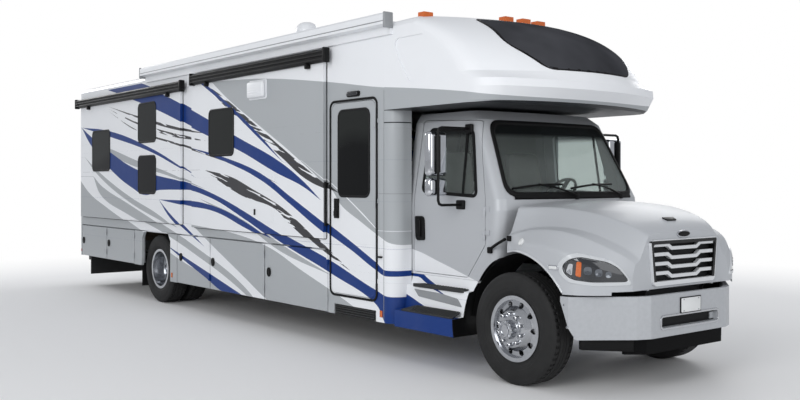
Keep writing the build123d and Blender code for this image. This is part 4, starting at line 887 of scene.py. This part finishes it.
def cab_pane():
    """Glass that is dark in the cap and the left wall, and see-through below the cap's brow."""
    finish, tree, shader = new_finish("cab_glass", 0.03)
    place = tree.new("ShaderNodeTexCoord")
    axes = axes_of(tree, place)
    ahead = combine(tree, "GREATER_THAN", axes["X"], 3.2)
    below = combine(tree, "LESS_THAN", axes["Z"], 2.5)
    clear = combine(tree, "MULTIPLY", ahead, below)
    link(combine(tree, "MULTIPLY", clear, 0.94), shader.inputs["Transmission Weight"])
    shader.inputs["IOR"].default_value = 1.2
    link(combine(tree, "MULTIPLY", clear, 0.3), shader.inputs["Specular IOR Level"])
    smoke = blended(tree, tint(40, 41, 44), tint(92, 93, 98), noise_of(tree, place, 1.6))
    dark = blended(tree, tint(30, 32, 33), smoke, ahead)
    band = ranged(tree, axes["Z"], 2.26, 2.31)
    shade = blended(tree, tint(208, 216, 214), tint(96, 101, 103), band)
    link(blended(tree, dark, shade, clear), shader.inputs["Base Color"])
    return finish


dress(dark_pane(), "rear_slide_glass", "front_slide_glass", "entry_door_glass")
dress(cab_pane(), "fixed_glass", "cab_door_glass_right", "cab_door_glass_left")


# Cab shell and doors
# Pressed steel cab in silver paint, its doors white below a slanting edge.
# Rubber gaskets hold the glass, a post divides each door window, and black pulls sit in the skin.
SILVER = tint(184, 187, 191)
CAB_BANDS = [
    # colour, upper edge (x, z), lower edge (x, z)
    (WHITE, [(2.88, 1.15), (3.16, 1.13), (3.61, 1.02), (4.05, 0.9), (4.3, 0.83)],
     [(2.88, 0.4), (4.3, 0.4)]),
]
WELL_R = 0.6945
CAB_WAIST_Z, CAB_HALF = 1.665, 1.034
cab_silver = striped("cab_silver", SILVER, CAB_BANDS, 0.42, 0.12, 0.15, WELL_R)
dress(cab_silver, "cab_shell", "cab_door_right", "cab_door_left")


def cab_front(y, z, lift=0.0):
    """Point on the curved wind-screen plane, set out by lift."""
    share = (z - CAB_WAIST_Z) / 0.775
    half = CAB_HALF - 0.119 * share
    middle, sweep = FRONT_AXLE_X - 0.196 - 0.444 * share, 0.116 - 0.066 * share
    bow = (half ** 2 + sweep ** 2) / (2 * sweep)
    return (middle - bow + math.sqrt(bow ** 2 - y ** 2) + 0.87 * lift, y, z + 0.5 * lift)


SHIELD = [(-0.915, 1.715), (0.915, 1.715), (0.8, 2.405), (-0.8, 2.405)]
SHIELD_HALF, SHIELD_RISE, SHIELD_Z = 0.86, 0.345, 2.06
outline = outline_points(SHIELD, 0.13)
rows = []
for grow, lift in ((0.03, 0.002), (0.022, 0.012), (0.0, 0.014), (-0.012, 0.004)):
    wider, taller = 1 + grow / SHIELD_HALF, 1 + grow / SHIELD_RISE
    rows.append([cab_front(y * wider, SHIELD_Z + (z - SHIELD_Z) * taller, lift) for y, z in outline])
grid_of(rows, 0.005)
settle("windscreen_gasket", "chassis", black_rubber)
rows = [[cab_front(-0.86 + 0.172 * step, z, lift) for step in range(11)]
        for z, lift in ((1.712, 0.004), (1.69, 0.012), (1.669, 0.012), (1.662, 0.0))]
grid_of(rows, 0.004)
settle("cowl_strip", "chassis", black_rubber)
wipers = []
for near, far, pivot in ((-0.86, -0.22, -0.08), (-0.12, 0.56, 0.66)):
    middle = (near + far) / 2
    blade = [(near, 1.752, 0.024), (middle, 1.785, 0.024), (far, 1.792, 0.024)]
    arm = [(middle, 1.79, 0.036), ((middle + pivot) / 2, 1.745, 0.04), (pivot, 1.676, 0.03)]
    for path, radius in ((blade, 0.011), (arm, 0.009)):
        wipers.append(tube([cab_front(*spot) for spot in path], radius, "AUTO"))
    wipers.append(block(cab_front(pivot - 0.025, 1.655, 0.0), cab_front(pivot + 0.025, 1.7, 0.05), 0.008))
join(wipers)
settle("wipers", "chassis", black_case)
SIDE_LEAN = 0.15355
DOOR_PANE = [(3.305, 1.712), (4.155, 1.672), (4.0, 2.357), (3.322, 2.383)]
DOOR_POST = [(3.925, 1.7), (3.952, 1.7), (3.922, 2.35), (3.895, 2.35)]
DOOR_PULL = [
    # x, out from the middle, z
    (3.222, 1.035, 1.475), (3.228, 1.034, 1.26), (3.252, 1.034, 1.225), (3.375, 1.034, 1.232),
    (3.372, 1.035, 1.45), (3.345, 1.036, 1.478),
]


def cab_side(x, z, side):
    """Point on the upper part of the cab's side."""
    return (x, side * (CAB_HALF - (z - CAB_WAIST_Z) * SIDE_LEAN), z)


def on_side(points, side):
    """Points given for the left side, carried to the given side."""
    return [(x, side * y, z) for x, y, z in points]


for side, tag in SIDES:
    out = (0, side * 0.0089, 0.0014)
    gasket = plate([cab_side(x, z, side) for x, z in DOOR_PANE], out, 0.075, 0.034, 0.002)
    post = plate([cab_side(x, z, side) for x, z in DOOR_POST], out)
    join([gasket, post])
    settle("door_gasket_" + tag, "cab_door_" + tag, black_rubber)
    pull = plate(on_side(DOOR_PULL, side), (0, side * 0.014, 0), 0.02, edge=0.004)
    grip = block((3.27, side * 1.046, 1.262), (3.32, side * 1.064, 1.445), 0.01, 3)
    join([pull, grip])
    settle("door_pull_" + tag, "cab_door_" + tag, black_case)


# Mirrors
# Chrome mirror heads, a tall glass over a small one, on a black tube bolted to each cab door.
# The glass looks to the rear, and the whole arm swings with its door.
mirror_glass = polished("mirror_glass", tint(206, 212, 216), 0.03, 4)
TUBE_X, TUBE_Y = 3.935, 1.345
PANE_X = 3.8245
ARM = [
    # out from the middle, z
    (0.925, 2.35), (1.3, 2.35), (1.333, 2.338), (TUBE_Y, 2.305), (TUBE_Y, 1.65), (1.333, 1.617),
    (1.3, 1.605), (1.034, 1.605),
]
for side, tag in SIDES:
    body = "cab_door_" + tag
    sleeve = [(TUBE_X, TUBE_Y, 1.92), (TUBE_X, TUBE_Y, 2.27)]
    arm = [tube([(TUBE_X, side * y, z) for y, z in ARM], 0.014), tube(on_side(sleeve, side), 0.024),
           block((TUBE_X - 0.045, side * 0.93, 2.305), (TUBE_X + 0.055, side * 0.965, 2.395), 0.012, 3),
           block((TUBE_X - 0.06, side * 1.032, 1.56), (TUBE_X + 0.05, side * 1.07, 1.65), 0.012, 3)]
    join(arm)
    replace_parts(settle("mirror_arm_" + tag, body, black_case), "mirror_" + tag)
    heads, panes = [], []
    for bottom, top in ((1.885, 2.31), (1.69, 1.865)):
        head = block((3.822, side * 1.202, bottom), (3.92, side * 1.438, top), 0.038, 5)
        inset_end(head, 0, -1, (0.006, -0.004))
        heads.append(head)
        low, high = bottom + 0.04, top - 0.04
        corners = [(1.245, low), (1.395, low), (1.395, high), (1.245, high)]
        panes.append(plate([(PANE_X, side * y, z) for y, z in corners], (-0.003, 0, 0), 0.02))
    join(heads)
    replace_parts(settle("mirror_heads_" + tag, body, chrome), "mirror_" + tag)
    join(panes)
    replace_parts(settle("mirror_glass_" + tag, body, mirror_glass), "mirror_" + tag)


# Cab inside
# Moulded dashboard with the steering wheel on its column, and two cloth seats on steel pedestals.
# Cushions are foam under woven cloth, crowned in the middle and pulled in at the corners.
dash_plastic = grainy("dash_plastic", tint(70, 71, 73), 0.55, scale=260, shade=0.2, bump=0.2)
dress(dash_plastic, "dashboard")
seat_cloth = grainy("seat_cloth", tint(112, 112, 111), 0.92, scale=320, shade=0.3, bump=0.5)


def cushion(low, high, crown, lean=0.0):
    """Crowned pad between two corners, leaning back by lean over its height."""
    bpy.ops.mesh.primitive_cube_add(size=2)
    pad = bpy.context.object
    bpy.ops.object.mode_set(mode="EDIT")
    bpy.ops.mesh.select_all(action="SELECT")
    bpy.ops.mesh.subdivide(number_cuts=9)
    bpy.ops.object.mode_set(mode="OBJECT")
    middle = [(a + b) / 2 for a, b in zip(low, high)]
    half = [abs(b - a) / 2 for a, b in zip(low, high)]
    for vertex in pad.data.vertices:
        place = list(vertex.co)
        shaped = []
        for axis in range(3):
            others = [place[k] for k in range(3) if k != axis]
            swell = (1 - others[0] ** 4) * (1 - others[1] ** 4)
            shaped.append(middle[axis] + place[axis] * (half[axis] - crown * (1 - swell)))
        shaped[0] -= lean * (place[2] + 1) / 2
        vertex.co = shaped
    smooth = pad.modifiers.new("smooth", "SUBSURF")
    smooth.levels = 1
    smooth.render_levels = 1
    bpy.ops.object.modifier_apply(modifier="smooth")
    return pad


for y, tag in ((-0.52, "right"), (0.52, "left")):
    seat = cushion((3.25, y - 0.25, 1.345), (3.75, y + 0.25, 1.48), 0.025)
    settle("seat_pad_" + tag, "chassis", seat_cloth, 180)
    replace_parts(seat, "cab_seats")
    back = cushion((3.25, y - 0.25, 1.475), (3.37, y + 0.25, 2.15), 0.02, 0.1)
    settle("seat_back_" + tag, "chassis", seat_cloth, 180)
    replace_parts(back, "cab_seats")
    block((3.3, y - 0.18, 0.925), (3.67, y + 0.18, 1.345), 0.02, 3)
    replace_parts(settle("seat_pedestal_" + tag, "chassis", chassis_black), "cab_seats")


# Hood and fenders
# One moulded hood with fenders that tilts forward, held at the rear by a rubber strap on each side.
# Wheel-arch lips are rolled and finished brighter than the hood as a painted highlight, and a plain oval
# badge and a small scoop sit on the nose.
ARCH_LIP_R = 0.698
BADGE_Z = 1.366
STRAP = [(4.33, 1.052, 1.19), (4.45, 1.068, 1.25), (4.565, 1.075, 1.302)]


def oval_disc(x, width, height, depth):
    """Oval disc above the grille that faces forward."""
    bpy.ops.mesh.primitive_cylinder_add(vertices=48, radius=0.5, depth=depth, rotation=(0, math.pi / 2, 0),
                                        location=(x, 0, BADGE_Z))
    disc = bpy.context.object
    disc.scale = (height, width, 1)
    bpy.ops.object.transform_apply(location=True, rotation=True, scale=True)
    return disc


bright_silver_and_lip_highlight = grainy("bright_silver_and_lip_highlight", tint(206, 209, 212), 0.3, metallic=0.1, coat=0.2, scale=60,
                       shade=0.06, bump=0.02)
lens_white = grainy("lens_white", tint(228, 230, 230), 0.2, coat=0.5, scale=90, shade=0.12)
hood_silver = striped("hood_silver", SILVER, [], 0.45, 0.06, 0.1)
dress(hood_silver, "hood")
for side, tag in SIDES:
    strap = tube(on_side(STRAP, side), 0.014, "AUTO")
    foot = block((4.305, side * 1.03, 1.155), (4.36, side * 1.062, 1.215), 0.01, 3)
    join([strap, foot])
    settle("hood_strap_" + tag, "chassis", black_rubber)
    block((4.585, side * 1.05, 1.285), (4.64, side * 1.083, 1.335), 0.01, 3)
    settle("hood_strap_hook_" + tag, "hood", black_rubber)
    outward = Vector((-0.22, side * 0.829, 0.515))
    bpy.ops.mesh.primitive_cylinder_add(vertices=28, radius=0.036, depth=0.016)
    button = bpy.context.object
    button.rotation_euler = outward.to_track_quat("Z", "Y").to_euler()
    button.location = Vector((4.8206, side * 1.1243, 1.2906)) + outward * 0.004
    inset_end(button, 2, 1, (0.014, 0.004))
    bpy.ops.object.transform_apply(location=True, rotation=True, scale=True)
    soften(button, 0.003)
    settle("fender_button_" + tag, "hood", lens_white)
    block((5.188, side * 1.166, 1.075), (5.297, side * 1.178, 1.116), 0.005, 3)
    settle("fender_marker_rim_" + tag, "hood", chrome)
    block((5.2, side * 1.174, 1.083), (5.285, side * 1.186, 1.108), 0.005, 3)
    settle("fender_marker_" + tag, "hood", lens_white)
# Each rolled arch lip is real, but its silver, brighter than the hood paint, is a painted highlight.
for side, tag in SIDES:
    lip = []
    for step in range(19):
        angle = math.radians(33 + 70 * step / 18)
        x, z = FRONT_AXLE_X + ARCH_LIP_R * math.cos(angle), AXLE_Z + ARCH_LIP_R * math.sin(angle)
        lip.append(nodes["hood"].ray_cast(Vector((x, side * 2, z)), Vector((0, -side, 0)))[1])
    tube(lip, 0.011)
    settle("arch_lip_" + tag, "hood", bright_silver_and_lip_highlight)
badge = oval_disc(5.73, 0.19, 0.068, 0.014)
inset_end(badge, 0, 1, (0.009, 0))
soften(badge, 0.002)
settle("hood_badge", "hood", chrome)
field = oval_disc(5.7385, 0.166, 0.047, 0.004)
inset_end(field, 0, 1, (0.006, 0.001))
settle("hood_badge_field", "hood", black_case)
plate([(5.555, -0.085, 1.5015), (5.608, -0.07, 1.4775), (5.608, 0.07, 1.4775), (5.555, 0.085, 1.5015)],
      (0.004, 0, 0.009), 0.012, edge=0.002)
settle("hood_scoop", "hood", black_case)


# Grille and headlamps
# Chromed bars in a surround, over a black mesh, and a faired lamp on each fender.
# Bright bowls and an amber block show in each lens, and a bright rim runs round it.
def mesh_finish():
    """Black woven wire: two sets of fine bars crossing, with dark gaps between."""
    finish, tree, shader = new_finish("radiator_mesh", 0.5)
    place = tree.new("ShaderNodeTexCoord")
    weave = tree.new("ShaderNodeTexBrick")
    weave.inputs["Scale"].default_value = 40
    weave.inputs["Mortar Size"].default_value = 0.06
    weave.inputs["Color1"].default_value = tint(5, 5, 6)
    weave.inputs["Color2"].default_value = tint(8, 8, 9)
    weave.inputs["Mortar"].default_value = tint(30, 31, 32)
    shader.inputs["Specular IOR Level"].default_value = 0.15
    turned = tree.new("ShaderNodeMapping")
    turned.inputs["Rotation"].default_value = (0, math.pi / 2, 0)
    link(place.outputs["Object"], turned.inputs["Vector"])
    link(turned.outputs["Vector"], weave.inputs["Vector"])
    link(weave.outputs["Color"], shader.inputs["Base Color"])
    return finish


def rim_grille():
    """Chrome bars and outer lip, with the inside of the surround in black."""
    finish, tree, shader = new_finish("grille_chrome", 0.3)
    place = tree.new("ShaderNodeTexCoord")
    axes = axes_of(tree, place)
    height = axes["Z"]
    across = combine(tree, "ABSOLUTE", axes["Y"], 0)
    reach = combine(tree, "SUBTRACT", across, combine(tree, "MULTIPLY", height, 0.1125))

    def between(value, low, high):
        return combine(tree, "MULTIPLY", combine(tree, "GREATER_THAN", value, low),
                       combine(tree, "LESS_THAN", value, high))

    sides = combine(tree, "MULTIPLY", between(reach, 0.3, 0.342), between(height, 0.962, 1.317))
    top = combine(tree, "MULTIPLY", between(height, 1.286, 1.317), between(reach, -1, 0.342))
    black = combine(tree, "MAXIMUM", sides, top)
    colour = blended(tree, tint(232, 234, 236), tint(10, 10, 11), black)
    link(colour, shader.inputs["Base Color"])
    chromed = combine(tree, "SUBTRACT", 1, black)
    link(combine(tree, "MULTIPLY", chromed, 0.55), shader.inputs["Metallic"])
    return finish


def front_plate(x, low, high, low_half, high_half, depth, radius, ring=0.0, edge=0.0):
    """Upright plate or ring that faces forward, with its half widths below and above."""
    corners = [(x, -low_half, low), (x, low_half, low), (x, high_half, high), (x, -high_half, high)]
    return plate(corners, (depth, 0, 0), radius, ring, edge)


radiator_mesh = mesh_finish()
dress(rim_grille(), "grille")
front_plate(5.692, 0.935, 1.313, 0.445, 0.488, -0.006, 0.03)
settle("grille_mesh", "hood", radiator_mesh)
LAMP = [
    # along the fender, up
    (-0.242, 0.045), (-0.225, -0.018), (-0.17, -0.06), (-0.02, -0.078), (0.28, -0.078), (0.29, -0.06),
    (0.205, 0.033), (0.113, 0.078), (-0.107, 0.117), (-0.19, 0.1),
]
LAMP_U, LAMP_V, LAMP_HALF, LAMP_RISE = 0.02, 0.015, 0.265, 0.098


def lamp_plane(side):
    """Plane in front of a lamp: its X runs along the fender and its Z looks out."""
    along, outward = (0.622, -side * 0.783, 0), (0.783, side * 0.622, 0)
    spot = [a + b * 0.3 for a, b in zip((5.53, side * 1.0, 1.07), outward)]
    return Matrix(((along[0], 0, outward[0], spot[0]), (along[1], 0, outward[1], spot[1]),
                   (0, 1, 0, spot[2]), (0, 0, 0, 1)))


def lamp_ring(target, turn, steps, corner=0.035):
    """Ring round the lens; each step is how far it stands outside the lens and off the surface."""
    rows = []
    for grow, lift in steps:
        longer, taller = 1 + grow / LAMP_HALF, 1 + grow / LAMP_RISE
        grown = [(LAMP_U + (u - LAMP_U) * longer, LAMP_V + (v - LAMP_V) * taller) for u, v in LAMP]
        rows.append(pressed(outline_points(grown, corner, 5, 3), turn, target, lift))
    return grid_of(rows, 0.002)


def lamp_patch(corners, radius, turn, lift, hollow):
    """Small rounded dish or block standing off the lens, its middle let in by hollow."""
    middle = sum((Vector(corner) for corner in corners), Vector((0, 0))) / len(corners)
    outline = outline_points(corners, radius, 5, 3)
    rows = []
    floor = lift - 1.5 * hollow
    for share, height in ((1, -0.001), (0.94, lift), (0.8, lift), (0.55, lift - hollow), (0.02, floor)):
        ring = [middle.lerp(point, share) for point in outline]
        rows.append(pressed(ring, turn, nodes["headlamps"], height))
    return grid_of(rows, 0.001)


lamp_dark = grainy("lamp_dark", tint(58, 61, 66), 0.12, metallic=0.4, coat=0.8, scale=34, shade=0.8,
                   bump=0.35)
dress(lamp_dark, "headlamps")
bowl_grey = polished("bowl_grey", tint(126, 130, 136), 0.1, 60)
for side, tag in SIDES:
    turn = lamp_plane(side)
    lamp_ring(nodes["hood"], turn, ((0.044, -0.001), (0.038, 0.007), (0.014, 0.01), (0.006, 0.004)))
    settle("headlamp_rim_" + tag, "hood", bright_silver_and_lip_highlight)
    lamp_ring(nodes["hood"], turn, ((0.009, -0.001), (0.007, 0.006), (0.0025, 0.005)))
    settle("headlamp_gasket_" + tag, "hood", black_rubber)
    lamp_patch([(-0.15, -0.035), (-0.105, -0.045), (-0.1, 0.085), (-0.14, 0.09)], 0.015, turn, 0.004, 0.0)
    settle("turn_lamp_" + tag, "hood", amber_lens)
    lamp_patch([(-0.222, -0.005), (-0.175, -0.035), (-0.168, 0.07), (-0.2, 0.07)], 0.016, turn, 0.004,
               0.002)
    settle("park_lamp_" + tag, "hood", chrome)
    bowls = []
    for u, v, size in ((-0.05, 0.012, 0.036), (0.04, -0.005, 0.034), (0.125, -0.022, 0.028)):
        corners = [(u - size, v - size), (u + size, v - size), (u + size, v + size), (u - size, v + size)]
        bowls.append(lamp_patch(corners, size * 0.9, turn, 0.003, 0.002))
    join(bowls)
    settle("lamp_bowls_" + tag, "hood", bowl_grey)


# Front bumper
# Pressed bumper bar in silver paint with a meshed slot, on a black air guard.
# A blank plate in a black holder is bolted to the middle.
GUARD_TOP = 0.4895
bumper_paint = split_finish("bumper_paint", "Z", GUARD_TOP, tint(16, 16, 17), SILVER, 0.42, 0.12, 0.15)
dress(bumper_paint, "front_bumper")
rim_bright = polished("rim_bright", tint(214, 216, 219), 0.16, 20)
BUMPER_X = 5.8
front_plate(BUMPER_X, 0.55, 0.68, 0.44, 0.44, 0.006, 0.045, 0.02, 0.002)
settle("bumper_slot_rim", "chassis", rim_bright)
front_plate(5.753, 0.562, 0.668, 0.43, 0.43, -0.005, 0.02)
settle("bumper_slot_mesh", "chassis", radiator_mesh)
WING = [(5.7, 0.64, 0.375), (5.44, 1.05, 0.4), (5.385, 1.02, 0.4), (5.6, 0.64, 0.375)]
support = block((5.4, -1.04, 0.5), (5.43, 1.04, 0.85), 0.01)
wings = [support]
for side in (-1, 1):
    wings.append(plate(on_side(WING, side), (0, 0, 0.115), 0.03, edge=0.008))
join(wings)
settle("air_guard", "chassis", black_rubber)
block((BUMPER_X, -0.155, 0.672), (BUMPER_X + 0.008, 0.155, 0.815), 0.004)
settle("plate_holder", "chassis", black_case)
front_plate(BUMPER_X + 0.008, 0.681, 0.806, 0.143, 0.143, 0.003, 0.012, edge=0.001)
settle("blank_plate", "chassis", lens_white)
bolts = []
for y in (-0.11, 0.11):
    for z in (0.693, 0.794):
        bpy.ops.mesh.primitive_cylinder_add(vertices=14, radius=0.006, depth=0.006,
                                            rotation=(0, math.pi / 2, 0),
                                            location=(BUMPER_X + 0.013, y, z))
        bolt = bpy.context.object
        bpy.ops.object.transform_apply(location=True, rotation=True, scale=True)
        inset_end(bolt, 0, 1, (0.002, 0.001))
        bolts.append(bolt)
for side in (-1, 1):
    for x, z in ((5.356, 0.785), (5.39, 0.6)):
        bolts.append(capped_nut(x, side * 1.158, z, side, 0.011, 0.008))
join(bolts)
settle("bumper_bolts", "chassis", alloy)


# Cab steps
# Moulded fairings under the cab doors in white and blue, with two ribbed black treads each.
# The treads are screwed on, and a grey toe pocket is let into the riser.
STEP_BANDS = [
    # colour, upper edge (x, z), lower edge (x, z)
    (BLUE, [(3.1, 0.69), (3.2, 0.66), (3.7, 0.53), (4.4, 0.525)], [(3.1, 0.2), (4.4, 0.2)]),
    (BLUE, [(3.1, 0.91), (3.28, 0.9), (3.42, 0.845), (3.63, 0.765), (3.83, 0.69)],
     [(3.1, 0.85), (3.25, 0.85), (3.4, 0.8), (3.62, 0.745), (3.83, 0.69)]),
]
dress(striped("step_paint", WHITE, STEP_BANDS, 0.36, 0.08, well=WELL_R), "cab_steps")
LOWER_TREAD = [(3.25, 1.266, 0.518), (4.035, 1.266, 0.518), (4.035, 1.14, 0.566), (3.36, 1.14, 0.566)]
UPPER_TREAD = [(3.27, 1.128, 0.758), (4.03, 1.128, 0.758), (4.06, 1.045, 0.758), (3.34, 1.045, 0.758)]
RISER = [(3.29, 0.735), (3.37, 0.665), (4.03, 0.62), (3.96, 0.695), (3.7, 0.725)]
toe_grey = grainy("toe_grey", tint(150, 153, 156), 0.5, scale=90, shade=0.2)
for side, tag in SIDES:
    treads = [plate(on_side(corners, side), (0, 0, depth), 0.03, edge=edge)
              for corners, depth, edge in ((LOWER_TREAD, 0.014, 0.003), (UPPER_TREAD, 0.034, 0.004))]
    for number in range(16):
        x = 3.4 + 0.04 * number
        treads.append(tube([(x, side * 1.258, 0.536), (x, side * 1.15, 0.577)], 0.006))
        treads.append(block((x, side * 1.06, 0.79), (x + 0.016, side * 1.118, 0.798), 0.003))
    join(treads)
    settle("step_treads_" + tag, "chassis", cast_grey)
    pocket = [(x, side * (1.132 - (z - 0.53) * 0.104), z) for x, z in reversed(RISER)]
    plate(pocket, (0, side * 0.003, 0), 0.015)
    settle("toe_pocket_" + tag, "chassis", toe_grey)


# Floor, light and camera
# Pale seamless studio floor under soft lamps, seen from the photograph's place.
# The floor goes to plain white away from the vehicle, and the camera sees a white world.
def camera_sees(tree):
    """One for rays from the camera, also through glass, and nought for the rest."""
    path = tree.new("ShaderNodeLightPath")
    return combine(tree, "MAXIMUM", path.outputs["Is Camera Ray"], path.outputs["Is Transmission Ray"])


FLOOR_HALF = 60
FADE_FROM, FADE_TO = 7.5, 12
bpy.ops.mesh.primitive_plane_add(size=2 * FLOOR_HALF, location=(0, 0, 0))
floor = bpy.context.object
floor.name = "studio_floor"
floor_paper, tree, shader = new_finish("floor_paper", 0.9)
shader.inputs["Base Color"].default_value = tint(238, 238, 238)
place = tree.new("ShaderNodeTexCoord")
length = tree.new("ShaderNodeVectorMath")
length.operation = "LENGTH"
glow = tree.new("ShaderNodeEmission")
blend = tree.new("ShaderNodeMixShader")
link(place.outputs["Object"], length.inputs[0])
fade = ranged(tree, length.outputs["Value"], FADE_FROM, FADE_TO)
link(combine(tree, "MULTIPLY", fade, camera_sees(tree)), blend.inputs["Fac"])
link(shader.outputs["BSDF"], blend.inputs[1])
link(glow.outputs["Emission"], blend.inputs[2])
link(blend.outputs["Shader"], tree["Material Output"].inputs["Surface"])
floor.data.materials.append(floor_paper)

world = bpy.data.worlds.new("studio_world")
bpy.context.scene.world = world
world.use_nodes = True
tree = world.node_tree.nodes
soft = tree["Background"]
soft.inputs["Color"].default_value = (0.86, 0.88, 0.92, 1)
soft.inputs["Strength"].default_value = 0.55
white = tree.new("ShaderNodeBackground")
white.inputs["Color"].default_value = (1, 1, 1, 1)
blend = tree.new("ShaderNodeMixShader")
link(camera_sees(tree), blend.inputs["Fac"])
link(soft.outputs["Background"], blend.inputs[1])
link(white.outputs["Background"], blend.inputs[2])
link(blend.outputs["Shader"], tree["World Output"].inputs["Surface"])
LAMPS = [
    # name, place, aims at, size, power
    ("key_lamp", (9, -15, 7), (0.5, -1, 1.5), 8, 1050),
    ("front_lamp", (17, -1, 4.5), (3, 0, 1.5), 8, 340),
    ("left_lamp", (-4, 14, 9), (0, 1, 1.5), 8, 750),
    ("rear_lamp", (-15, -3, 8), (-4, 0, 1.5), 6, 500),
]
for name, place, target, size, power in LAMPS:
    bpy.ops.object.light_add(type="AREA", location=place)
    lamp = bpy.context.object
    lamp.name = name
    lamp.data.size = size
    lamp.data.energy = power
    aim = (lamp.location - Vector(target)).normalized()
    lamp.rotation_euler = aim.to_track_quat("Z", "Y").to_euler()

CAMERA_PLACE, CAMERA_YAW = (10.725, -7.203, 1.84), 51.542
LENS_MM, SENSOR_MM, SHIFT_UP = 42.24, 36, -0.0242
bpy.ops.object.camera_add(location=CAMERA_PLACE, rotation=(math.pi / 2, 0, math.radians(CAMERA_YAW)))
camera = bpy.context.object
camera.data.lens = LENS_MM
camera.data.sensor_width = SENSOR_MM
camera.data.shift_y = SHIFT_UP
bpy.context.scene.camera = camera
bpy.context.scene.view_settings.view_transform = "Standard"
